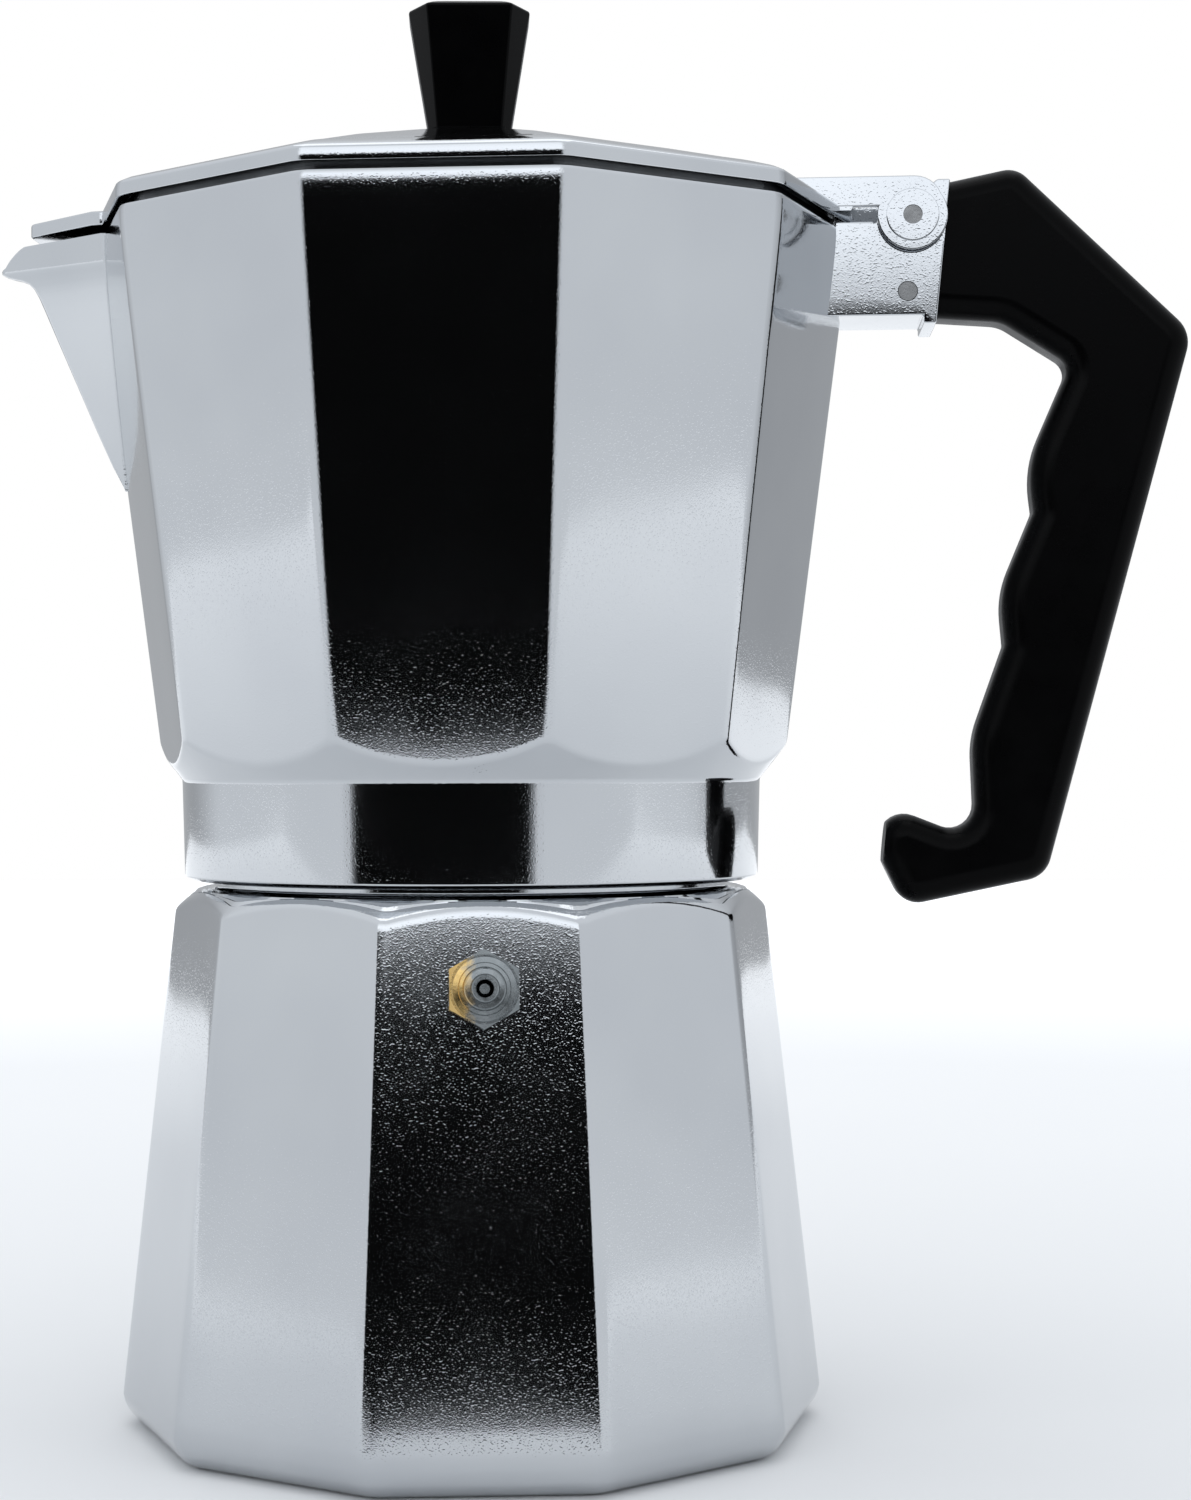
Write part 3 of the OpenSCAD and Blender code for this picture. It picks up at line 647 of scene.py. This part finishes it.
def boiler_side(off, z):
    """Radius of the boiler's side, cut by the shoulder."""
    side = boiler_corner(z) * outline_share(off) - crown(off, 0.1, 7)
    return soft_min(side, shoulder_radius(z), 0.8)


def boiler_column(angle):
    """The boiler's section at an angle, from the foot's middle round the neck to the floor inside."""
    off = corner_distance(angle, BOILER_TURN)
    share = outline_share(off)
    edge_at = boiler_corner(FOOT_EDGE) - FOOT_EDGE
    bottom = [(0, 0.6), (40, 0.6), (48, 0.5), (49, 0.0)]
    bottom += [(r * share, z) for r, z in arc(edge_at, FOOT_EDGE, FOOT_EDGE, -90, -6, 7)]
    arch = arch_height(shoulder_radius, lambda z: boiler_corner(z) * share, 86, SHOULDER_Z)
    heights = [8, 12, 20, 35, 55, 70, 80, 85, 87.5]
    heights += [arch + d for d in (-1.6, -0.9, -0.4, 0, 0.4, 0.9)]
    side = [(boiler_side(off, z), z) for z in heights]
    low = arch + 0.9
    grooves = []
    for share_up in (0.3, 0.6):
        z = low + (SHOULDER_Z - low) * share_up
        grooves += [(shoulder_radius(z) + 0.02, z), (shoulder_radius(z) - GROOVE_DEPTH, z + 0.02)]
    top = [
        (SHOULDER_R, SHOULDER_Z), (47.2, 93.55), (46.9, 93.4), (46.5, 93.4), (46.2, 93.6), (45.4, 93.6),
        (44.9, 93.8), (NECK_R, 94.3), (NECK_R, 106.5), (NECK_R - 0.5, NECK_Z), (NECK_BORE + 0.4, NECK_Z),
        (NECK_BORE, NECK_Z - 0.4), (NECK_BORE, SHOULDER_Z + 1)]
    cavity_top = boiler_corner(CAVITY_TOP_Z) * cos_deg(FACET_HALF) - BOILER_WALL
    cavity_low = boiler_corner(BOILER_FLOOR + CAVITY_FILLET) * cos_deg(FACET_HALF) - BOILER_WALL
    inside = [(cavity_top, CAVITY_TOP_Z)]
    inside += arc(cavity_low - CAVITY_FILLET, BOILER_FLOOR + CAVITY_FILLET, CAVITY_FILLET, 0, -90, 8)
    inside += [(20, BOILER_FLOOR), (0, BOILER_FLOOR)]
    return angle, bottom + side + grooves + top + inside


VALVE_Z, STUB_R, WASHER_T, HEX_T = 79.3, 4.0, 0.8, 3.2
VALVE_TURN = BOILER_TURN - 90
VALVE_TILT = math.degrees(math.atan(FOOT_TAPER * cos_deg(FACET_HALF)))
# From the valve's own frame, where Z points out of the boiler's wall, to the pot's.
AT_VALVE = (
    Matrix.Rotation(math.radians(VALVE_TURN), 4, "Z")
    @ Matrix.Translation((boiler_corner(VALVE_Z) * cos_deg(FACET_HALF), 0, VALVE_Z))
    @ Matrix.Rotation(math.radians(90 - VALVE_TILT), 4, "Y"))


def at_valve(x, y, z):
    """A point of the valve's own frame in the pot's frame."""
    return tuple(AT_VALVE @ Vector((x, y, z)))


def make_boiler():
    """The lower casting, with the hole for the valve's stub and its inside unpolished, painted dark as
    shade.
    """
    columns = [boiler_column(a) for a in ten_sided_angles(BOILER_TURN)]
    boiler = new_object("boiler_casting", loft(columns_to_rings(columns)), "satin_casting", "boiler_base")
    ring = disc_outline(0, 0, STUB_R)
    cut = loft([[at_valve(x, y, z) for x, y in ring] for z in (-THROUGH, 8)])
    boolean(boiler, helper("cut", cut), "DIFFERENCE")
    finish_mesh(boiler.data)
    even_normals(boiler)
    neck_wall = NECK_BORE + 0.3
    wall = ((BOILER_FLOOR, 52.0), (CAVITY_TOP_Z, 46.5), (SHOULDER_Z + 1, neck_wall), (NECK_Z, neck_wall))

    def is_inside(c):
        return BOILER_FLOOR - 0.1 < c.z < NECK_Z and math.hypot(c.x, c.y) < interpolate(wall, c.z)

    # The inside gets the unpolished look with a painted shade.
    paint_inside(boiler, is_inside)
    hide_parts("boiler")


def make_valve():
    """The safety valve's stepped nose; the hexagon behind it is the CAD model's."""
    top = WASHER_T + HEX_T
    profile = [
        (1.4, top - 1.6), (2.7, top - 1.6), (2.7, top - 0.02), (5.15, top - 0.02), (5.2, top + 0.2),
        (5.05, top + 0.45), (4.2, top + 0.6), (4.05, top + 0.85), (3.5, top + 0.95), (3.35, top + 1.2),
        (3.3, top + 2.0), (3.1, top + 2.2), (2.35, top + 2.3), (2.2, top + 2.5), (2.15, top + 3.0),
        (1.95, top + 3.2), (1.55, top + 3.2), (1.4, top + 3.05)]
    steps = 64
    rings = [[at_valve(r * cos_deg(360 * i / steps), r * sin_deg(360 * i / steps), z) for i in range(steps)]
             for r, z in profile]
    cap = new_object("valve_nose", loft(rings, wrap=True), "brass", "boiler_base")
    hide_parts("valve_cap")


SPRING_LOW, SPRING_HIGH = -4.83, 2.13
SPRING_R, SPRING_WIRE, SPRING_TURNS, SPRING_STEPS = 1.95, 0.22, 6, 24


def make_spring():
    """The valve's spring: a fixed coil of wire along the valve's axis."""
    steps = SPRING_TURNS * SPRING_STEPS
    rings = []
    for i in range(steps + 1):
        z = SPRING_LOW + (SPRING_HIGH - SPRING_LOW) * i / steps
        angle = 360 / SPRING_STEPS * i
        section = disc_outline(SPRING_R, z, SPRING_WIRE, 10)
        rings.append([at_valve(r * cos_deg(angle), r * sin_deg(angle), h) for r, h in section])
    coil = new_object("spring_coil", loft(rings), "steel", None)
    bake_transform(coil)
    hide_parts("valve_spring")


# ---- Threads ----
THREAD_PITCH, THREAD_START, THREAD_DEPTH = 4.0, 96.0, 0.75
NECK_THREAD, COLLAR_THREAD = (96.0, 105.0), (97.5, 105.5)
THREAD_STEPS, THREAD_RUNOUT, THREAD_SMOOTH_LIMIT = 60, 10, 25


def make_thread(name, root_r, depth, heights, body):
    """A right-handed helical ridge: depth is positive on the boiler's neck and negative in the collar."""
    low, high = heights
    steps = round((high - low) / THREAD_PITCH * THREAD_STEPS)
    rings = []
    for i in range(steps + 1):
        z = low + (high - low) * i / steps
        angle = 360 * (z - THREAD_START) / THREAD_PITCH
        crest = root_r + depth * min(1.0, i / THREAD_RUNOUT, (steps - i) / THREAD_RUNOUT)
        root = root_r - math.copysign(0.3, depth)
        section = ((root, z - 1.0), (crest, z - 0.25), (crest, z + 0.25), (root, z + 1.0))
        rings.append([(r * cos_deg(angle), r * sin_deg(angle), h) for r, h in section])
    new_object(name, loft(rings), "cast_aluminium", body, THREAD_SMOOTH_LIMIT)


# ---- Lid ----
LID_R, LID_LOW, LID_BAND, LID_TOP, LID_WALL = 67.2, 208.1, 2.5, 225.3, 2.0
BAND_TOP = LID_LOW + LID_BAND
SKIRT_OUT = RIM_R - WALL - 0.9
SKIRT_T = 1.5
ARM_TOP, ARM_LOW, ARM_ROOT_X, ARM_END_X, ARM_END_R = 215.4, 210.2, 52, HINGE_X + 5.1, 4.8
EAR_R, BOSS_R, SCREW_R = 6.0, 4.5, 2.0


def lid_column(angle):
    """The lid's section at an angle, from the underside round the skirt and band to the top."""
    share = outline_share(corner_distance(angle, 0))
    skirt_low = LID_LOW - 2.6
    profile = [
        (8.6, LID_TOP - LID_WALL), (35, 216.6), (SKIRT_OUT - SKIRT_T, BAND_TOP - LID_WALL),
        (SKIRT_OUT - SKIRT_T, skirt_low + 0.2), (SKIRT_OUT - SKIRT_T + 0.2, skirt_low),
        (SKIRT_OUT - 0.2, skirt_low), (SKIRT_OUT, skirt_low + 0.2), (SKIRT_OUT, LID_LOW),
        (LID_R - 0.35, LID_LOW), (LID_R - 0.1, LID_LOW + 0.1), (LID_R, LID_LOW + 0.35),
        (LID_R, LID_LOW + 1.2), (LID_R, BAND_TOP - 0.55), (LID_R - 0.12, BAND_TOP - 0.2),
        (LID_R - 0.45, BAND_TOP + 0.1), (LID_R - 0.9, BAND_TOP + 0.3), (65.3, BAND_TOP + 0.75),
        (62, BAND_TOP + 1.75), (60.2, BAND_TOP + 2.25), (59.4, BAND_TOP + 2.3), (58.9, BAND_TOP + 2.2),
        (58.3, BAND_TOP + 2.45), (57.5, BAND_TOP + 2.9), (45, 216.8), (25, 221.5), (12, 224.5),
        (9.2, 225.16), (8.2, LID_TOP)]
    points = [(r * share, z) for r, z in profile]
    hole = SCREW_R + 0.2
    return angle, [(hole, LID_TOP - LID_WALL)] + points + [(hole, LID_TOP)]


def spout_cover():
    """The flat tongue of the lid that covers the spout."""
    half = [(-60, -15.4), (-64.5, -14.6), (-77.2, -4.2), (-77.7, -3.2)]
    outline = half + [(x, -y) for x, y in half[::-1]]
    bm = loft([[(x, y, z) for x, y in outline] for z in (LID_LOW, BAND_TOP)])
    bevel(bm, 40, 0.4, 2)
    return helper("cover", bm)


def hinge_flange(low_y, high_y):
    """One arm of the lid's hinge with its ear."""
    outline = [(ARM_ROOT_X, ARM_LOW), (ARM_END_X, ARM_LOW)]
    outline += arc(ARM_END_X - ARM_END_R, ARM_TOP - ARM_END_R, ARM_END_R, 0, 90, 8)
    outline += [(ARM_ROOT_X, ARM_TOP)]
    flange = helper("flange", extruded(outline, low_y, high_y, 0.25))
    ear = helper("ear", extruded(disc_outline(HINGE_X, HINGE_Z, EAR_R), low_y, high_y, 0.25))
    boolean(flange, ear, "UNION")
    return flange


def make_lid():
    """The lid with its spout cover, hinge arms, bosses and the bridge between the arms."""
    columns = [lid_column(a) for a in ten_sided_angles(0)]
    lid = new_object("lid_casting", loft(columns_to_rings(columns), wrap=True), "cast_aluminium", "lid_set")
    boolean(lid, spout_cover(), "UNION")
    boolean(lid, block((-70, -12, LID_LOW - 10), (-40, 12, LID_LOW - 0.02)), "DIFFERENCE")
    inner = KNUCKLE_HALF + EAR_GAP
    for low, high, boss_low, boss_high in (
            (-BRACKET_HALF, -inner, -BRACKET_HALF - 0.3, -inner - 0.6),
            (inner, BRACKET_HALF, inner + 0.6, BRACKET_HALF + 0.3)):
        boolean(lid, hinge_flange(low, high), "UNION")
        boss = extruded(disc_outline(HINGE_X, HINGE_Z, BOSS_R), boss_low, boss_high, 0.2)
        boolean(lid, helper("boss", boss), "UNION")
    bridge = [
        (46, ARM_TOP - 0.05), (HINGE_X - 9, ARM_TOP - 0.05), (HINGE_X - 9, ARM_TOP - 2.2),
        (66.4, BAND_TOP - 1), (60, BAND_TOP - 1), (46, ARM_TOP - 2)]
    boolean(lid, helper("bridge", extruded(bridge, -BRACKET_HALF + 0.1, BRACKET_HALF - 0.1)), "UNION")
    drill(lid, HINGE_X, HINGE_Z, PIN_R + 0.05)
    finish_mesh(lid.data)
    even_normals(lid)

    def is_inside(c):
        return corner_radius(c) < SKIRT_OUT + 0.2 and c.z < max(lid_underside(c), LID_LOW - 0.02)

    # The underside and the skirt, which shows in the gap over the jug's rim, get the unpolished look with a
    # painted shade.
    paint_inside(lid, is_inside)
    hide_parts("lid")


def corner_radius(centre):
    """Corner radius of the ten-sided outline that a point lies on."""
    angle = math.degrees(math.atan2(centre.y, centre.x))
    return math.hypot(centre.x, centre.y) / outline_share(corner_distance(angle, 0))


def lid_underside(centre):
    """A height halfway through the lid's crown."""
    r = corner_radius(centre)
    return interpolate(((8.6, LID_TOP - 1.0), (63, BAND_TOP - 0.4)), max(r, 8.6))


# ---- Handle and knob ----
HANDLE_HALF, HANDLE_EDGE = 6.6, 4.0
END_HIGH, END_LOW = (83.5, 215.2), (81.1, 191.6)
# The handle's corners in side view: x, z and how round each is. The radii of 18 and 20 are its swells.
GRIP = (
    (75.7, 213.6, 0.6), (94.9, 217.5, 4.5), (124.7, 188.6, 5.5), (99.6, 95.3, 5), (75.2, 90.1, 4.4),
    (70.8, 99.2, 8), (71.8, 107.8, 4.4), (87.6, 101.6, 4), (86.9, 118.9, 18), (92.6, 135, 1.4),
    (91.8, 144, 18), (97.6, 158, 1.4), (96.6, 166.1, 20), (104, 183.2, 3), (92.2, 190.8, 6),
    (73.1, 192.2, 0.6))


def rounded_outline(points, inset, steps=8):
    """An outline with rounded corners, moved inwards: the number of points stays the same."""
    corners = [Vector(p[:2]) for p in points]
    area = sum(a.x * b.y - b.x * a.y for a, b in zip(corners, corners[1:] + corners[:1]))
    hand = 1 if area > 0 else -1
    out = []
    for i, point in enumerate(points):
        back = (corners[i] - corners[i - 1]).normalized()
        ahead = (corners[(i + 1) % len(points)] - corners[i]).normalized()
        turn = math.atan2(back.x * ahead.y - back.y * ahead.x, back.dot(ahead))
        outward = turn * hand > 0
        normal_back = Vector((-back.y, back.x)) * hand
        normal_ahead = Vector((-ahead.y, ahead.x)) * hand
        middle = (normal_back + normal_ahead).normalized() / math.cos(turn / 2)
        radius = max(0.1, point[2] - inset) if outward else point[2] + inset
        centre = corners[i] + middle * (inset + (radius if outward else -radius))
        start = -normal_back if outward else normal_back
        for k in range(steps + 1):
            arm = Matrix.Rotation(turn * k / steps, 2) @ start
            out.append(centre + arm * radius)
    return out


def make_handle():
    """The handle: an outline with rounded edges, cut off at the bracket's lip, with its tongue."""
    rings = []
    bends = 7
    for side in (-1, 1):
        for k in range(bends + 1):
            lean = 90 * (bends - k if side < 0 else k) / bends
            inset = HANDLE_EDGE * (1 - cos_deg(lean))
            y = side * (HANDLE_HALF - HANDLE_EDGE + HANDLE_EDGE * sin_deg(lean))
            rings.append([(p.x, y, p.y) for p in rounded_outline(GRIP, inset)])
    bm = loft(rings)
    along = Vector((END_HIGH[0] - END_LOW[0], 0, END_HIGH[1] - END_LOW[1]))
    cut = bmesh.ops.bisect_plane(
        bm, geom=bm.verts[:] + bm.edges[:] + bm.faces[:], plane_co=(END_LOW[0], 0, END_LOW[1]),
        plane_no=along.cross(Vector((0, 1, 0))), clear_inner=False, clear_outer=True)
    bmesh.ops.holes_fill(bm, edges=[e for e in cut["geom_cut"] if isinstance(e, bmesh.types.BMEdge)])
    handle = new_object("handle_grip", bm, "black_resin", "jug_set")
    boolean(handle, block(TONGUE_LOW, TONGUE_HIGH), "UNION")
    drill(handle, CROSS_X, CROSS_Z, PIN_R)
    finish_mesh(handle.data, RESIN_SMOOTH_LIMIT)
    even_normals(handle)
    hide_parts("handle")


KNOB_H, KNOB_TOP, KNOB_LOW, KNOB_SIDE, KNOB_CROWN, KNOB_TURN = 20.8, 10.6, 7.2, 4.6, 3.0, 5.5
KNOB_GAP, KNOB_BORE, KNOB_BORE_DEPTH = 0.05, 3.2, 9


def knob_ring(share_up, shrink=1.0):
    """The knob's eight-cornered section; shrink draws it smaller for the crown."""
    w = KNOB_LOW + (KNOB_TOP - KNOB_LOW) * share_up
    face = KNOB_LOW - 1.6 + (w - KNOB_LOW) * 0.52
    points = []
    for s in (-1, 1):
        points += [(s * face, -s * w), (s * w, -s * KNOB_SIDE), (s * w, s * KNOB_SIDE), (s * face, s * w)]
    return [(x * shrink, y * shrink) for x, y in points]


def make_knob():
    """The faceted knob, which widens upwards under a low crown, with the bore for its insert."""
    rings = []
    for up in (0, 0.3, 0.65, 1):
        z = LID_TOP + KNOB_GAP + (KNOB_H - KNOB_GAP) * up
        rings.append([(x, y, z) for x, y in knob_ring(up)])
    for shrink in (0.97, 0.9, 0.75, 0.55, 0.3, 0.1):
        z = LID_TOP + KNOB_H + KNOB_CROWN * (1 - shrink) ** 0.75
        rings.append([(x, y, z) for x, y in knob_ring(1, shrink)])
    bm = loft(rings)
    bevel(bm, 18, 0.35, 3)
    bmesh.ops.rotate(bm, matrix=Matrix.Rotation(math.radians(KNOB_TURN), 3, "Z"), verts=bm.verts)
    knob = new_object("knob_grip", bm, "black_resin", "lid_set", RESIN_SMOOTH_LIMIT)
    boolean(knob, rod(0, 0, LID_TOP - 1, LID_TOP + KNOB_BORE_DEPTH, KNOB_BORE), "DIFFERENCE")
    finish_mesh(knob.data, RESIN_SMOOTH_LIMIT)
    even_normals(knob)
    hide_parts("knob")


make_jug()
make_boiler()
make_valve()
make_spring()
make_thread("neck_thread", NECK_R, THREAD_DEPTH, NECK_THREAD, "boiler_base")
make_thread("collar_thread", COLLAR_BORE, -THREAD_DEPTH, COLLAR_THREAD, "jug_set")
make_lid()
make_handle()
make_knob()


# ---- Floor, light and camera ----
FLOOR_HALF, FLOOR_FRONT, FLOOR_BACK = 1.6, -0.52, 2.2
# The dark room, in degrees: how far it is turned, half its width, its height, and how soft its edges are.
DARK_TURN, DARK_HALF, DARK_TOP = 6.5, 36.0, 9.1
DARK_SOFT, DARK_TOP_SOFT = 4.0, 1.1
# How bright the studio is: in the dark room, beside it, behind the pot, above the dark room and overhead.
DARK = 0.004
SIDE_LIGHT = 0.95
BACK_LIGHT = 0.5
FRONT_LIGHT = 1.7
TOP_LIGHT = 1.05


def make_floor():
    """A pale floor with painted light: it glows more away from the pot until it meets the backdrop."""
    g = Graph("floor")
    tone = g.mix(g.noise(3, 2), (0.80, 0.81, 0.82, 1), (0.84, 0.845, 0.85, 1))
    g.link(tone, "Base Color")
    g.set(Roughness=0.7, Specular_IOR_Level=0.2)
    # Painted light: the floor glows, more with distance from the pot, though it is no lamp.
    g.set(Emission_Color=(1, 1, 1, 1))
    away = g.add("ShaderNodeVectorMath", {0: g.place}, operation="LENGTH").outputs["Value"]
    near = g.remap(away, (0.15, 0.9), (0, 0.13))
    g.link(g.math("ADD", near, g.remap(away, (0.6, 1.6), (0, 0.3))), "Emission Strength")
    mesh = bpy.data.meshes.new("floor")
    left, right = -FLOOR_HALF, FLOOR_HALF
    corners = [
        (left, FLOOR_FRONT, 0), (right, FLOOR_FRONT, 0), (right, FLOOR_BACK, 0), (left, FLOOR_BACK, 0)]
    mesh.from_pydata(corners, [], [(0, 1, 2, 3)])
    floor = bpy.data.objects.new("floor", mesh)
    bpy.context.scene.collection.objects.link(floor)
    dress(floor, g.material)


def make_world():
    """A pale studio with a dark room behind the camera, which the front sides mirror."""
    world = bpy.data.worlds.new("studio")
    bpy.context.scene.world = world
    world.use_nodes = True
    tree = world.node_tree
    tree.nodes.clear()
    new, link = tree.nodes.new, tree.links.new

    def math_node(operation, a, b=0.0, c=0.0):
        node = new("ShaderNodeMath")
        node.operation = operation
        for i, value in enumerate((a, b, c)):
            if isinstance(value, bpy.types.NodeSocket):
                link(value, node.inputs[i])
            else:
                node.inputs[i].default_value = value
        return node.outputs[0]

    def step(value, low, high):
        node = new("ShaderNodeMapRange")
        node.interpolation_type = "SMOOTHSTEP"
        link(value, node.inputs["Value"])
        node.inputs["From Min"].default_value = low
        node.inputs["From Max"].default_value = high
        return node.outputs["Result"]

    def blend(share, low, high):
        return math_node("MULTIPLY_ADD", share, math_node("SUBTRACT", high, low), low)

    direction = new("ShaderNodeSeparateXYZ")
    link(new("ShaderNodeTexCoord").outputs["Generated"], direction.inputs[0])
    x, y, z = direction.outputs
    azimuth = math_node("ARCTAN2", x, math_node("MULTIPLY", y, -1.0))
    off = math_node("ABSOLUTE", math_node("ADD", azimuth, math.radians(DARK_TURN)))
    inner, outer = math.radians(DARK_HALF - DARK_SOFT), math.radians(DARK_HALF + DARK_SOFT)
    high = step(z, sin_deg(DARK_TOP - DARK_TOP_SOFT), sin_deg(DARK_TOP + DARK_TOP_SOFT))
    behind = step(off, math.radians(100), math.radians(135))
    walls = blend(behind, SIDE_LIGHT, BACK_LIGHT)
    walls = blend(step(off, outer, inner), walls, FRONT_LIGHT)
    bright = math_node("MAXIMUM", step(off, inner, outer), high)
    level = blend(bright, DARK, walls)
    level = blend(step(z, 0.25, 0.75), level, TOP_LIGHT)
    room = new("ShaderNodeBackground")
    room.inputs["Color"].default_value = (0.93, 0.96, 1.0, 1)
    link(level, room.inputs["Strength"])
    backdrop = new("ShaderNodeBackground")
    backdrop.inputs["Color"].default_value = (1, 1, 1, 1)
    backdrop.inputs["Strength"].default_value = 1.0
    mix = new("ShaderNodeMixShader")
    link(new("ShaderNodeLightPath").outputs["Is Camera Ray"], mix.inputs[0])
    link(room.outputs[0], mix.inputs[1])
    link(backdrop.outputs[0], mix.inputs[2])
    link(mix.outputs[0], new("ShaderNodeOutputWorld").inputs["Surface"])


def soft_light(name, place, target, size, power):
    """A rectangular area light aimed at a point."""
    light = bpy.data.lights.new(name, "AREA")
    light.shape = "RECTANGLE"
    light.size, light.size_y = size
    light.energy = power
    obj = bpy.data.objects.new(name, light)
    obj.location = place
    obj.rotation_mode = "QUATERNION"
    obj.rotation_quaternion = (Vector(target) - Vector(place)).to_track_quat("-Z", "Y")
    bpy.context.scene.collection.objects.link(obj)


make_floor()
make_world()
soft_light("overhead", (0, 0.1, 1.1), (0, 0, 0), (0.9, 0.9), 2.0)

CAMERA_PLACE = (46.79 * MM, -495.82 * MM, 115.46 * MM)
CAMERA_FORWARD = (-0.07686, 0.99703, 0.00378)
CAMERA_ROLL = -0.18
CAMERA_LENS = 67.907
CAMERA_SHIFT = 0.0503

camera_data = bpy.data.cameras.new("camera")
camera_data.lens = CAMERA_LENS
camera_data.shift_x = CAMERA_SHIFT
camera = bpy.data.objects.new("camera", camera_data)
camera.location = CAMERA_PLACE
camera.rotation_mode = "QUATERNION"
camera.rotation_quaternion = Vector(CAMERA_FORWARD).to_track_quat("-Z", "Y") @ Matrix.Rotation(
    math.radians(CAMERA_ROLL), 3, "Z").to_quaternion()
bpy.context.scene.collection.objects.link(camera)
bpy.context.scene.camera = camera
bpy.context.scene.view_settings.view_transform = "Standard"
